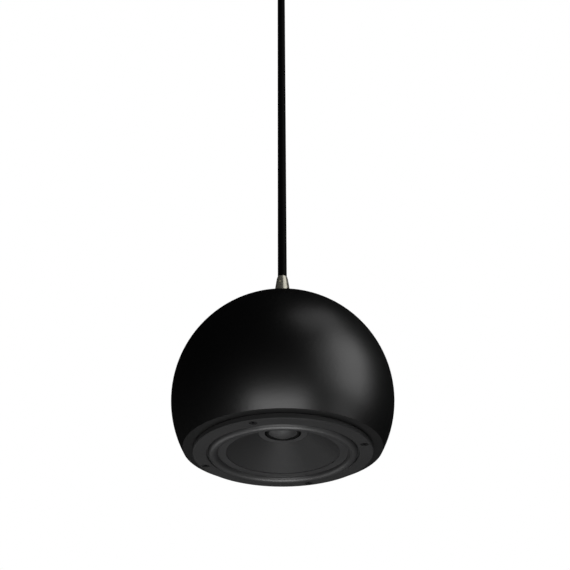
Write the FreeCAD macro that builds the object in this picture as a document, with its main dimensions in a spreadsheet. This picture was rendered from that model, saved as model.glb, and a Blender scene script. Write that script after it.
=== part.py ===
import FreeCAD, Part
import math
import os
import re

import Sketcher
from FreeCAD import Placement, Rotation, Vector

# Pendant speaker: a closed ball with a coaxial driver in its underside, hung on a cord from a ceiling rose.
# Millimetres and degrees. +Z is up and the origin is in the ceiling plane, between the two ceiling screws.
# The ball hangs below it, so everything lies at negative Z. The driver faces straight down.

doc = FreeCAD.newDocument("PendantSpeaker")
sheet = doc.addObject("Spreadsheet::Sheet", "Sizes")

sizes = {
    # Ball
    "ball_radius": 105.0,
    "shell_wall": 3.0,
    "rim_angle": 60.63,
    "rim_wall": 2.5,
    "top_flat_radius": 10.2,
    "top_pad_thickness": 4.5,
    "hang_drop": 670.0,
    # Baffle ring glued behind the flat rim
    "baffle_thickness": 12.0,
    "baffle_glue_gap": 0.2,
    "basket_clearance": 0.8,
    # Stack of rings under the rim
    "gasket_thickness": 0.8,
    "gasket_setback": 0.8,
    "flange_thickness": 2.0,
    "flange_setback": 9.2,
    "trim_thickness": 2.1,
    "trim_setback": 0.5,
    "trim_edge_chamfer": 0.5,
    # Frame screws
    "screw_count": 4.0,
    "screw_inset": 5.6,
    "screw_radius": 2.0,
    "screw_length": 16.0,
    "screw_head_radius": 3.4,
    "screw_head_height": 1.8,
    "screw_head_edge": 0.3,
    "socket_flats": 2.5,
    "socket_depth": 1.2,
    "screw_clearance": 0.2,
    "thread_clearance": 0.05,
    "insert_radius": 2.9,
    "insert_length": 8.0,
    # Frame with its open basket
    "mouth_inset": 13.3,
    "basket_straight": 5.0,
    "basket_wall": 2.0,
    "neck_setback": 6.5,
    "neck_step": 0.2,
    "rear_ring_radius": 26.0,
    "rear_ring_thickness": 2.0,
    "shelf_reach": 6.9,
    "shelf_drop": 6.8,
    "shelf_thickness": 2.0,
    "window_count": 6.0,
    "window_half_angle": 21.0,
    "window_setback": 3.0,
    # Surround
    "surround_thickness": 0.6,
    "surround_land_width": 4.2,
    "surround_land_gap": 0.2,
    "roll_clearance": 0.5,
    "roll_radius": 4.5,
    "lip_width": 7.5,
    # Cone and what is glued to its neck
    "cone_thickness": 0.8,
    "cone_rim_gap": 1.0,
    "motor_gap": 12.0,
    "collar_radius": 22.8,
    "collar_step": 2.0,
    "collar_edge": 0.6,
    "former_inner_radius": 16.5,
    "former_wall": 0.3,
    "former_reach": 9.5,
    "neck_glue_gap": 0.1,
    "coil_thickness": 0.7,
    "coil_length": 12.0,
    # Spider
    "spider_thickness": 0.4,
    "spider_wave_count": 6.0,
    "spider_foot_width": 1.6,
    "spider_land_width": 3.2,
    "spider_gap": 0.05,
    # Magnet system
    "gap_clearance": 0.6,
    "top_plate_height": 37.0,
    "top_plate_thickness": 5.0,
    "plate_radius": 38.0,
    "magnet_overhang": 4.0,
    "magnet_bore_radius": 22.0,
    "magnet_thickness": 16.0,
    "back_plate_thickness": 5.0,
    "pole_radius": 16.0,
    "pole_bore_radius": 2.5,
    "plate_chamfer": 1.0,
    # Tweeter on the end of the pole
    "tweeter_forward": 0.2,
    "tweeter_radius": 15.3,
    "tweeter_ring_inner_radius": 13.4,
    "tweeter_recess": 1.0,
    "tweeter_cavity_radius": 11.4,
    "tweeter_length": 10.6,
    "tweeter_floor": 2.0,
    "dome_radius": 12.2,
    "dome_rise": 4.6,
    "dome_thickness": 0.3,
    "dome_fit": 0.1,
    "tweeter_magnet_radius": 10.4,
    "tweeter_magnet_thickness": 4.6,
    "tweeter_plate_inset": 0.8,
    "tweeter_plate_thickness": 1.2,
    "post_radius": 8.0,
    # Terminals on the basket
    "strip_width": 28.0,
    "strip_height": 12.0,
    "strip_thickness": 1.6,
    "strip_gap": 0.1,
    "tab_width": 6.3,
    "tab_thickness": 0.8,
    "tab_length": 18.0,
    "tab_spacing": 18.0,
    "tab_hole_radius": 1.0,
    # Crossover board
    "standoff_count": 3.0,
    "standoff_circle_radius": 27.0,
    "standoff_radius": 3.2,
    "standoff_length": 6.0,
    "board_radius": 34.0,
    "board_thickness": 1.6,
    "board_screw_radius": 1.4,
    "board_screw_head_radius": 2.8,
    "board_screw_head_height": 1.8,
    "board_screw_length": 6.0,
    "board_screw_slot": 0.8,
    "inductor_radius": 12.0,
    "inductor_core_radius": 5.0,
    "inductor_core_wall": 1.5,
    "inductor_height": 12.0,
    "inductor_flange": 1.2,
    "inductor_winding_depth": 1.0,
    "capacitor_radius": 6.5,
    "capacitor_length": 18.0,
    "resistor_length": 22.0,
    "resistor_side": 9.0,
    "block_length": 12.0,
    "block_side": 9.0,
    "block_well_radius": 1.6,
    "block_well_depth": 3.0,
    "block_well_spacing": 5.0,
    # Lining
    "lining_thickness": 14.0,
    "lining_low_edge": 6.0,
    "lining_hole_radius": 27.0,
    "lining_gap": 0.3,
    # Cord and its two conical grips
    "cord_radius": 4.7,
    "cord_clearance": 0.1,
    "grip_base_radius": 10.0,
    "grip_foot": 1.0,
    "grip_cone_height": 29.8,
    "grip_neck_radius": 5.9,
    "grip_height": 32.5,
    "grip_lip_radius": 5.3,
    "nipple_radius": 6.5,
    "nipple_length": 11.0,
    "nipple_clearance": 0.2,
    "grub_height": 25.0,
    "grub_radius": 1.5,
    "grub_socket_radius": 0.8,
    "grub_socket_depth": 0.9,
    "grub_sink": 0.25,
    "washer_radius": 15.0,
    "washer_thickness": 1.5,
    "locknut_flats": 19.0,
    "locknut_height": 4.0,
    "stop_radius": 10.0,
    "stop_height": 9.0,
    "stop_slot": 1.6,
    "stop_screw_radius": 1.4,
    "stop_screw_offset": 7.4,
    "stop_socket_flats": 1.5,
    "stop_socket_depth": 1.2,
    "cord_tail": 2.0,
    # Ceiling rose
    "canopy_radius": 50.0,
    "canopy_depth": 38.0,
    "canopy_wall": 1.5,
    "canopy_edge": 4.0,
    "bracket_width": 20.0,
    "bracket_thickness": 2.0,
    "bracket_reach": 47.2,
    "bracket_ear": 14.0,
    "ceiling_hole_spacing": 76.0,
    "ceiling_hole_radius": 2.5,
    "side_screw_height": 8.0,
    "side_screw_radius": 1.9,
    "side_screw_head_radius": 3.5,
    "side_screw_head_height": 2.0,
    "side_screw_inside": 3.0,
    "side_screw_slot": 1.0,
    "rose_block_start": 13.0,
    "rose_block_length": 20.0,
    "rose_block_width": 18.0,
    "rose_block_height": 13.0,
    "rose_well_radius": 2.2,
    "rose_well_depth": 6.0,
    "rose_well_spacing": 9.0,
    "rose_entry_radius": 1.5,
    "rose_entry_depth": 8.0,
    # Wires inside the ball
    "wire_radius": 1.1,
    "wire_spacing": 3.2,
    "pole_wire_spacing": 2.3,
    "tinsel_radius": 0.6,
    "lead_rise": 12.0,
    "board_lead_inset": 4.0,
    "tinsel_azimuth": 13.0,
    "tinsel_window_azimuth": 18.0,
    "tinsel_bow": 3.5,
    "tinsel_lift": 8.0,
    "tinsel_share": 0.545,
}

# Sizes that follow from the ones above.
# A height of the driver is counted from the plane of the ball's flat rim, up into the ball.
following = {
    "rim_radius": "ball_radius * sin(rim_angle)",
    "rim_drop": "ball_radius * cos(rim_angle)",
    "inner_radius": "ball_radius - shell_wall",
    "top_flat_height": "sqrt(ball_radius^2 - top_flat_radius^2)",
    "top_pad_height": "top_flat_height - top_pad_thickness",
    "flange_radius": "rim_radius - flange_setback",
    "flange_front": "-gasket_thickness - flange_thickness",
    "screw_circle_radius": "flange_radius - screw_inset",
    "screw_hole_radius": "screw_radius + screw_clearance",
    "mouth_radius": "flange_radius - mouth_inset",
    "basket_radius": "mouth_radius + basket_wall",
    "bore_radius": "basket_radius + basket_clearance",
    "trim_inner_radius": "mouth_radius + trim_setback",
    "trim_front": "flange_front - trim_thickness",
    "neck_wall_radius": "plate_radius + neck_setback",
    "magnet_radius": "plate_radius + magnet_overhang",
    "shelf_height": "top_plate_height - shelf_drop",
    "shelf_radius": "neck_wall_radius - shelf_reach",
    "neck_wall_height": "shelf_height - neck_step",
    "window_inner_radius": "neck_wall_radius + window_setback",
    "window_outer_radius": "mouth_radius - window_setback",
    "surround_land_radius": "mouth_radius + surround_land_width",
    "land_back": "flange_front + surround_thickness",
    "roll_centre_radius": "mouth_radius - roll_clearance - roll_radius",
    "lip_inner_radius": "roll_centre_radius - roll_radius - lip_width",
    "former_radius": "former_inner_radius + former_wall",
    "former_end_height": "top_plate_height + former_reach",
    "neck_radius": "former_radius + neck_glue_gap",
    "cone_outer_radius": "roll_centre_radius - roll_radius - cone_rim_gap",
    "cone_depth": "top_plate_height - motor_gap",
    "cone_slope": "cone_depth / (lip_inner_radius - neck_radius)",
    "cone_shift": "cone_thickness * sqrt(1 + cone_slope^2)",
    "collar_front_height": "land_back + (lip_inner_radius - collar_radius) * cone_slope - collar_step",
    "spider_wave_radius": "(shelf_radius - former_radius - spider_foot_width) / (2 * spider_wave_count)",
    "top_plate_back": "top_plate_height + top_plate_thickness",
    "magnet_back": "top_plate_back + magnet_thickness",
    "motor_back": "magnet_back + back_plate_thickness",
    "board_base": "motor_back + standoff_length",
    "board_back": "board_base + board_thickness",
    "tweeter_front_height": "collar_front_height - tweeter_forward",
    "tweeter_back": "tweeter_front_height + tweeter_length",
    "tweeter_floor_height": "tweeter_back - tweeter_floor",
    "tweeter_magnet_low": "tweeter_floor_height - tweeter_magnet_thickness",
    "tweeter_plate_radius": "tweeter_magnet_radius - tweeter_plate_inset",
    "tinsel_cone_radius": "neck_radius + (lip_inner_radius - neck_radius) * tinsel_share",
    "cord_bore_radius": "cord_radius + cord_clearance",
    "nipple_hole_radius": "nipple_radius + nipple_clearance",
}

entries = {**sizes, **{name: f"={text}" for name, text in following.items()}}
for row, (name, entry) in enumerate(entries.items(), start=1):
    sheet.set(f"A{row}", name)
    sheet.set(f"B{row}", str(entry))
    sheet.setAlias(f"B{row}", name)
doc.recompute()

# Where each group of pieces has its own zero height
ceiling_level = "0"
ball_level = "-hang_drop"
driver_level = "-hang_drop - rim_drop"
grip_level = "-hang_drop + top_flat_height"


def formula(text):
    """The text with each size's name pointing into the sheet. Every size's name has an underscore."""
    return re.sub(r"[a-z]+(?:_[a-z]+)+", r"Sizes.\g<0>", text)


def value(text):
    """The number that a formula has now."""
    return float(sheet.evalExpression(formula(text)))


def cone_front(radius):
    """Height of the cone's front face at a radius."""
    return f"(land_back + (lip_inner_radius - {radius}) * cone_slope)"


def new_body(label, level):
    """An empty body whose zero height is at level."""
    body = doc.addObject("PartDesign::Body", label)
    body.Label = label
    body.setExpression("Placement.Base.z", formula(level))
    return body


def new_sketch(body, role, height="0"):
    """A sketch on one of the body's own planes, moved along that plane's normal by height."""
    plane = next(item for item in body.Origin.OriginFeatures if item.Role == role)
    sketch = body.newObject("Sketcher::SketchObject", f"{body.Name}_sketch")
    sketch.AttachmentSupport = [(plane, "")]
    sketch.MapMode = "FlatFace"
    sketch.setExpression("AttachmentOffset.Base.z", formula(height))
    return sketch


def arc_between(start, end, radius, turn):
    """The short arc from start to end: turn is 1 for a left-hand curve and -1 for a right-hand one."""
    chord = end - start
    middle = (start + end) / 2
    sideways = Vector(-chord.y, chord.x, 0) / chord.Length
    rise = math.sqrt(max(radius**2 - (chord.Length / 2) ** 2, 0))
    centre = middle + sideways * (turn * rise)
    first, last = (start, end) if turn > 0 else (end, start)
    angles = [math.atan2(p.y - centre.y, p.x - centre.x) for p in (first, last)]
    return Part.ArcOfCircle(Part.Circle(centre, Vector(0, 0, 1), radius), *angles)


def add_outline(sketch, corners):
    """A closed outline. A corner is (x, y), or (x, y, radius, turn) where an arc arrives at it."""
    places = [Vector(value(corner[0]), value(corner[1]), 0) for corner in corners]
    sides = []
    for index, corner in enumerate(corners):
        start, end = places[index - 1], places[index]
        if len(corner) == 2:
            side = sketch.addGeometry(Part.LineSegment(start, end))
            sides.append((side, 1, 2))
            continue
        side = sketch.addGeometry(arc_between(start, end, value(corner[2]), corner[3]))
        sides.append((side, 1, 2) if corner[3] > 0 else (side, 2, 1))
        rule = sketch.addConstraint(Sketcher.Constraint("Radius", side, value(corner[2])))
        sketch.setExpression(f"Constraints[{rule}]", formula(corner[2]))
    for index, (side, _, arrival) in enumerate(sides):
        following, departure, _ = sides[(index + 1) % len(sides)]
        sketch.addConstraint(Sketcher.Constraint("Coincident", side, arrival, following, departure))
        for kind, text, number in (("DistanceX", corners[index][0], places[index].x),
                                   ("DistanceY", corners[index][1], places[index].y)):
            rule = sketch.addConstraint(Sketcher.Constraint(kind, side, arrival, number))
            sketch.setExpression(f"Constraints[{rule}]", formula(text))


def add_circle(sketch, x, y, radius):
    """A circle with its centre and radius bound to formulas."""
    centre = Vector(value(x), value(y), 0)
    circle = sketch.addGeometry(Part.Circle(centre, Vector(0, 0, 1), value(radius)))
    for kind, text, number in (("DistanceX", x, centre.x), ("DistanceY", y, centre.y)):
        rule = sketch.addConstraint(Sketcher.Constraint(kind, circle, 3, number))
        sketch.setExpression(f"Constraints[{rule}]", formula(text))
    rule = sketch.addConstraint(Sketcher.Constraint("Radius", circle, value(radius)))
    sketch.setExpression(f"Constraints[{rule}]", formula(radius))


def turn(body, corners):
    """The corners' outline, as radius and height, turned once round the body's Z axis."""
    sketch = new_sketch(body, "XZ_Plane")
    add_outline(sketch, corners)
    feature = body.newObject("PartDesign::Revolution", f"{body.Name}_turned")
    feature.Profile = sketch
    feature.ReferenceAxis = (sketch, ["V_Axis"])
    feature.Angle = 360
    doc.recompute()
    return feature


def turned(label, level, corners):
    """A body that is one turned outline."""
    body = new_body(label, level)
    turn(body, corners)
    return body


def pad(body, sketch, length, reverse=False):
    """A block raised from a sketch, along its normal or the other way."""
    feature = body.newObject("PartDesign::Pad", f"{body.Name}_pad")
    feature.Profile = sketch
    feature.setExpression("Length", formula(length))
    feature.Reversed = reverse
    doc.recompute()
    return feature


def pocket(body, sketch, length, reverse=False):
    """A cut from a sketch, of the given length. It has to take material away."""
    before = body.Shape.Volume
    feature = body.newObject("PartDesign::Pocket", f"{body.Name}_pocket")
    feature.Profile = sketch
    feature.setExpression("Length", formula(length))
    feature.Reversed = reverse
    doc.recompute()
    if body.Shape.Volume >= before - 1e-6:
        raise ValueError(f"a cut in {body.Label} takes nothing away")
    return feature


def polar(body, feature, count):
    """Copies of a feature round the body's Z axis."""
    pattern = body.newObject("PartDesign::PolarPattern", f"{body.Name}_pattern")
    pattern.Originals = [feature]
    axis = next(item for item in body.Origin.OriginFeatures if item.Role == "Z_Axis")
    pattern.Axis = (axis, [""])
    pattern.Angle = 360
    pattern.setExpression("Occurrences", formula(count))
    body.Tip = pattern
    doc.recompute()
    return pattern


def drill_ring(body, low, length, circle_radius, hole_radius, count):
    """A ring of equal holes parallel to Z, cut upwards from the height low."""
    sketch = new_sketch(body, "XY_Plane", low)
    add_circle(sketch, circle_radius, "0", hole_radius)
    hole = pocket(body, sketch, length, reverse=True)
    polar(body, hole, count)


def hexagon(across_flats):
    """Corners of a hexagon with two flats square to the Y axis."""
    corner_radius = f"({across_flats}) / sqrt(3)"
    return [(f"{corner_radius} * cos({60 * k})", f"{corner_radius} * sin({60 * k})") for k in range(6)]


def slot_head(body, face, radius, width):
    """A screwdriver's slot across a head whose outer face is at the height face, as deep as it is wide."""
    slot = new_sketch(body, "XY_Plane", face)
    add_outline(slot, [
        (f"-{radius}", f"-{width} / 2"),
        (radius, f"-{width} / 2"),
        (radius, f"{width} / 2"),
        (f"-{radius}", f"{width} / 2"),
    ])
    pocket(body, slot, width)


def group(label, level, shapes):
    """Separate equal solids that share one name."""
    feature = doc.addObject("Part::Feature", label)
    feature.Label = label
    feature.Shape = shapes[0] if len(shapes) == 1 else Part.makeCompound(shapes)
    feature.Placement = Placement(Vector(0, 0, value(level)), Rotation()).multiply(feature.Placement)
    return feature


def ring_places(count, radius, first_angle=0.0):
    """Placements at equal angles on a circle, each turned to face outwards."""
    steps = round(value(count))
    for step in range(steps):
        facing = Rotation(Vector(0, 0, 1), first_angle + 360.0 * step / steps)
        yield Placement(facing.multVec(Vector(value(radius), 0, 0)), facing)


def placed(shape, placement):
    """A copy of a shape, moved."""
    copy = shape.copy()
    copy.Placement = placement.multiply(copy.Placement)
    return copy


def route_wire(points):
    """Straight runs through the points, joined by wide tangent arcs. Gives the wire and the bend radii."""
    bends = []
    for before, corner, after in zip(points, points[1:], points[2:]):
        inward = (before - corner).normalize()
        outward = (after - corner).normalize()
        half_turn = (math.pi - inward.getAngle(outward)) / 2
        setback = 0.45 * min((before - corner).Length, (after - corner).Length)
        middle = (inward + outward).normalize()
        radius = setback / math.tan(half_turn)
        nearest = corner + middle * (radius / math.cos(half_turn) - radius)
        bends.append((corner + inward * setback, nearest, corner + outward * setback, radius))
    edges = []
    position = points[0]
    for start, nearest, end, _ in bends:
        edges.append(Part.LineSegment(position, start).toShape())
        edges.append(Part.Arc(start, nearest, end).toShape())
        position = end
    edges.append(Part.LineSegment(position, points[-1]).toShape())
    return Part.Wire(edges), [bend[3] for bend in bends]


def tube(points, radius):
    """A round wire or cord along a route. Its volume has to be its section times its length."""
    path, radii = route_wire(points)
    section = Part.Wire([Part.makeCircle(radius, points[0], points[1] - points[0])])
    solid = path.makePipeShell([section], True, False)
    expected = math.pi * radius**2 * path.Length
    if abs(solid.Volume - expected) > 0.01 * expected:
        raise ValueError("a tube's volume isn't its section times its length")
    print("tube of", round(path.Length, 1), "mm, bend radii", [round(r, 1) for r in radii])
    return solid


# Enclosure shell: one hollow ball with a flat turned-in rim below and a thick pad at its top.
shell = turned("enclosure_shell", ball_level, [
    ("nipple_hole_radius", "top_flat_height"),
    ("top_flat_radius", "top_flat_height"),
    ("rim_radius", "-rim_drop", "ball_radius", -1),
    ("bore_radius", "-rim_drop"),
    ("bore_radius", "rim_wall - rim_drop"),
    ("sqrt(inner_radius^2 - (rim_drop - rim_wall)^2)", "rim_wall - rim_drop"),
    ("sqrt(inner_radius^2 - top_pad_height^2)", "top_pad_height", "inner_radius", 1),
    ("nipple_hole_radius", "top_pad_height"),
])
drill_ring(shell, "-rim_drop - rim_wall", "rim_wall * 3", "screw_circle_radius", "screw_hole_radius",
           "screw_count")

# Baffle ring: wood-fibre ring glued behind the rim. Its outer face follows the inside of the ball.
baffle_outer = "(inner_radius - baffle_glue_gap)"
baffle_low = "(rim_drop - rim_wall)"
baffle_high = "(rim_drop - rim_wall - baffle_thickness)"
baffle = turned("baffle_ring", driver_level, [
    ("bore_radius", "rim_wall"),
    (f"sqrt({baffle_outer}^2 - {baffle_low}^2)", "rim_wall"),
    (f"sqrt({baffle_outer}^2 - {baffle_high}^2)", "rim_wall + baffle_thickness", baffle_outer, 1),
    ("bore_radius", "rim_wall + baffle_thickness"),
])
drill_ring(baffle, "0", "rim_wall + baffle_thickness + 1", "screw_circle_radius", "insert_radius",
           "screw_count")

# Threaded inserts: four brass sleeves pressed into the baffle ring.
insert = turned("threaded_insert", "0", [
    ("screw_radius + thread_clearance", "rim_wall"),
    ("insert_radius", "rim_wall"),
    ("insert_radius", "rim_wall + insert_length"),
    ("screw_radius + thread_clearance", "rim_wall + insert_length"),
])
inserts = group("threaded_inserts", driver_level,
                [placed(insert.Shape, place) for place in ring_places("screw_count", "screw_circle_radius")])

# Frame gasket: soft ring between the rim and the driver's flange.
gasket = turned("frame_gasket", driver_level, [
    ("bore_radius", "-gasket_thickness"),
    ("flange_radius - gasket_setback", "-gasket_thickness"),
    ("flange_radius - gasket_setback", "0"),
    ("bore_radius", "0"),
])
drill_ring(gasket, "-gasket_thickness - 1", "gasket_thickness + 2", "screw_circle_radius",
           "screw_hole_radius", "screw_count")

# Driver frame: cast flange, sloping basket wall with six windows, spider shelf and rear ring.
wall_slope = "((neck_wall_height - basket_straight) / (basket_radius - neck_wall_radius))"
wall_shift = f"(basket_wall * sqrt(1 + {wall_slope}^2))"
neck_inner_radius = "(neck_wall_radius - basket_wall)"
frame = turned("driver_frame", driver_level, [
    ("mouth_radius", "land_back"),
    ("surround_land_radius + surround_land_gap", "land_back"),
    ("surround_land_radius + surround_land_gap", "flange_front"),
    ("flange_radius", "flange_front"),
    ("flange_radius", "-gasket_thickness"),
    ("basket_radius", "-gasket_thickness"),
    ("basket_radius", "basket_straight"),
    ("neck_wall_radius", "neck_wall_height"),
    ("neck_wall_radius", "top_plate_height"),
    ("rear_ring_radius", "top_plate_height"),
    ("rear_ring_radius", "top_plate_height - rear_ring_thickness"),
    (neck_inner_radius, "top_plate_height - rear_ring_thickness"),
    (neck_inner_radius, "shelf_height + shelf_thickness"),
    ("shelf_radius", "shelf_height + shelf_thickness"),
    ("shelf_radius", "shelf_height"),
    (neck_inner_radius, "shelf_height"),
    (neck_inner_radius, f"neck_wall_height - {wall_shift} + basket_wall * {wall_slope}"),
    ("mouth_radius", f"basket_straight - {wall_shift} + (basket_radius - mouth_radius) * {wall_slope}"),
])
drill_ring(frame, "flange_front - 1", "flange_thickness + 2", "screw_circle_radius", "screw_hole_radius",
           "screw_count")
window = new_sketch(frame, "XY_Plane", "0")
window_corners = []
for radius_name, side in (("window_inner_radius", -1), ("window_outer_radius", -1),
                          ("window_outer_radius", 1), ("window_inner_radius", 1)):
    window_corners.append((f"{radius_name} * cos(30 + {side} * window_half_angle)",
                           f"{radius_name} * sin(30 + {side} * window_half_angle)"))
window_corners[2] += ("window_outer_radius", 1)
window_corners[0] += ("window_inner_radius", -1)
add_outline(window, window_corners)
window_cut = pocket(frame, window, "top_plate_height", reverse=True)
polar(frame, window_cut, "window_count")

# Trim ring: moulded ring that covers the surround's edge, with a countersink for each screw.
trim = turned("trim_ring", driver_level, [
    ("trim_inner_radius", "flange_front"),
    ("trim_inner_radius", "trim_front + trim_edge_chamfer"),
    ("trim_inner_radius + trim_edge_chamfer", "trim_front"),
    ("flange_radius - trim_edge_chamfer", "trim_front"),
    ("flange_radius", "trim_front + trim_edge_chamfer"),
    ("flange_radius", "flange_front"),
])
drill_ring(trim, "trim_front - 1", "trim_thickness + 2", "screw_circle_radius",
           "screw_head_radius + screw_clearance", "screw_count")

# Frame screws: cheese heads with a hex socket, sunk into the trim ring and seated on the frame's flange.
screw_body = new_body("frame_screw", "0")
head_face = "(flange_front - screw_head_height)"
turn(screw_body, [
    ("0", head_face),
    ("screw_head_radius - screw_head_edge", head_face),
    ("screw_head_radius", f"{head_face} + screw_head_edge"),
    ("screw_head_radius", "flange_front"),
    ("screw_radius", "flange_front"),
    ("screw_radius", "flange_front + screw_length"),
    ("0", "flange_front + screw_length"),
])
socket = new_sketch(screw_body, "XY_Plane", head_face)
add_outline(socket, hexagon("socket_flats"))
pocket(screw_body, socket, "socket_depth", reverse=True)
screws = group("frame_screws", driver_level,
               [placed(screw_body.Shape, place)
                for place in ring_places("screw_count", "screw_circle_radius")])

# Surround: rubber half roll with a flat land at each side. The outer land lies in the frame's recess.
roll_inside = "(roll_radius - surround_thickness)"
surround = turned("woofer_surround", driver_level, [
    ("surround_land_radius", "land_back"),
    ("surround_land_radius", "flange_front"),
    ("roll_centre_radius + roll_radius", "flange_front"),
    ("roll_centre_radius", "flange_front - roll_radius", "roll_radius", -1),
    ("roll_centre_radius - roll_radius", "flange_front", "roll_radius", -1),
    ("lip_inner_radius", "flange_front"),
    ("lip_inner_radius", "land_back"),
    (f"roll_centre_radius - {roll_inside}", "land_back"),
    (f"roll_centre_radius - {roll_inside}", "flange_front"),
    ("roll_centre_radius", f"flange_front - {roll_inside}", roll_inside, 1),
    (f"roll_centre_radius + {roll_inside}", "flange_front", roll_inside, 1),
    (f"roll_centre_radius + {roll_inside}", "land_back"),
])

# Woofer cone: pressed cone with a flat rim behind the surround's lip.
cone = turned("woofer_cone", driver_level, [
    ("cone_outer_radius", "land_back"),
    ("cone_outer_radius", "land_back + cone_thickness"),
    ("lip_inner_radius + (cone_shift - cone_thickness) / cone_slope", "land_back + cone_thickness"),
    ("neck_radius", f"{cone_front('neck_radius')} + cone_shift"),
    ("neck_radius", cone_front("neck_radius")),
    ("lip_inner_radius", "land_back"),
])

# Cone collar: stiffening ring glued over the joint of cone and coil former.
collar = turned("cone_collar", driver_level, [
    ("neck_radius", "collar_front_height"),
    ("neck_radius", cone_front("neck_radius")),
    ("collar_radius", cone_front("collar_radius")),
    ("collar_radius", "collar_front_height + collar_edge"),
    ("collar_radius - collar_edge", "collar_front_height"),
])

# Voice coil former: thin tube from the collar's face into the magnet's gap.
former = turned("voice_coil_former", driver_level, [
    ("former_inner_radius", "collar_front_height"),
    ("former_radius", "collar_front_height"),
    ("former_radius", "former_end_height"),
    ("former_inner_radius", "former_end_height"),
])

# Voice coil: winding on the former, centred in the top plate's gap.
coil_middle = "(top_plate_height + top_plate_thickness / 2)"
coil_radius = "(former_radius + coil_thickness)"
coil = turned("voice_coil", driver_level, [
    ("former_radius", f"{coil_middle} - coil_length / 2"),
    (coil_radius, f"{coil_middle} - coil_length / 2"),
    (coil_radius, f"{coil_middle} + coil_length / 2"),
    ("former_radius", f"{coil_middle} + coil_length / 2"),
])

# Spider: corrugated cloth disc from the former to the frame's shelf, which centres the coil.
spider_middle = "(shelf_height - spider_thickness / 2)"
spider_inner_radius = "(former_radius + spider_gap)"
wave_count = round(value("spider_wave_count"))
wave_start = "(shelf_radius - spider_wave_radius * 2 * spider_wave_count)"
thick = "(spider_wave_radius + spider_thickness / 2)"
thin = "(spider_wave_radius - spider_thickness / 2)"


def spider_side(low):
    """The waves' lower or upper side, from the innermost wave outwards, as quarter arcs."""
    side = -1 if low else 1
    corners = []
    for wave in range(wave_count):
        rises = wave % 2 == 0
        radius = thick if rises != low else thin
        bend = -1 if rises else 1
        centre = f"({wave_start} + spider_wave_radius * {2 * wave + 1})"
        crest = 1 if rises else -1
        corners.append((centre, f"{spider_middle} + {crest} * {radius}", radius, bend))
        corners.append((f"{centre} + {radius}", spider_middle, radius, bend))
    first_foot = f"{wave_start} - {side} * spider_thickness / 2"
    return [(first_foot, spider_middle)] + corners


def walked_back(corners):
    """The same open run of corners in the other direction."""
    back = []
    for index in range(len(corners) - 1, -1, -1):
        arrival = corners[index + 1][2:] if index + 1 < len(corners) else ()
        back.append(corners[index][:2] + ((arrival[0], -arrival[1]) if arrival else ()))
    return back


spider_upper = spider_side(low=False)
spider_lower = spider_side(low=True)
spider = turned("spider", driver_level, [
    (spider_inner_radius, f"{spider_middle} - spider_thickness / 2"),
    (spider_lower[0][0], f"{spider_middle} - spider_thickness / 2"),
    *spider_lower,
    (spider_lower[-1][0], f"{spider_middle} - spider_thickness / 2"),
    ("shelf_radius + spider_land_width", f"{spider_middle} - spider_thickness / 2"),
    ("shelf_radius + spider_land_width", "shelf_height"),
    (spider_upper[-1][0], "shelf_height"),
    *walked_back(spider_upper),
    (spider_upper[0][0], "shelf_height"),
    (spider_inner_radius, "shelf_height"),
])

# Top plate: steel ring round the coil's gap, under the frame's rear ring.
top_plate = turned("top_plate", driver_level, [
    (f"{coil_radius} + gap_clearance", "top_plate_height"),
    ("plate_radius", "top_plate_height"),
    ("plate_radius", "top_plate_back"),
    (f"{coil_radius} + gap_clearance", "top_plate_back"),
])

# Magnet: ferrite ring between the two plates.
magnet = turned("ring_magnet", driver_level, [
    ("magnet_bore_radius", "top_plate_back"),
    ("magnet_radius - plate_chamfer", "top_plate_back"),
    ("magnet_radius", "top_plate_back + plate_chamfer"),
    ("magnet_radius", "magnet_back - plate_chamfer"),
    ("magnet_radius - plate_chamfer", "magnet_back"),
    ("magnet_bore_radius", "magnet_back"),
])

# Back plate: forged with the pole that stands in the coil, and bored for the tweeter's leads.
back_plate = turned("back_plate", driver_level, [
    ("pole_bore_radius", "top_plate_height"),
    ("pole_radius - plate_chamfer", "top_plate_height"),
    ("pole_radius", "top_plate_height + plate_chamfer"),
    ("pole_radius", "magnet_back"),
    ("plate_radius", "magnet_back"),
    ("plate_radius", "motor_back - plate_chamfer"),
    ("plate_radius - plate_chamfer", "motor_back"),
    ("pole_bore_radius", "motor_back"),
])

# Tweeter post: moulded spacer from the pole's end to the tweeter's back.
post = turned("tweeter_post", driver_level, [
    ("pole_bore_radius", "tweeter_back"),
    ("post_radius", "tweeter_back"),
    ("post_radius", "top_plate_height"),
    ("pole_bore_radius", "top_plate_height"),
])

# Tweeter housing: cup with a flat front ring and a sunk ledge for the dome.
ledge = "(tweeter_front_height + tweeter_recess)"
tweeter_housing = turned("tweeter_housing", driver_level, [
    ("tweeter_ring_inner_radius", "tweeter_front_height"),
    ("tweeter_radius", "tweeter_front_height"),
    ("tweeter_radius", "tweeter_back"),
    ("pole_bore_radius", "tweeter_back"),
    ("pole_bore_radius", "tweeter_back - tweeter_floor"),
    ("tweeter_cavity_radius", "tweeter_back - tweeter_floor"),
    ("tweeter_cavity_radius", ledge),
    ("tweeter_ring_inner_radius", ledge),
])

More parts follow.
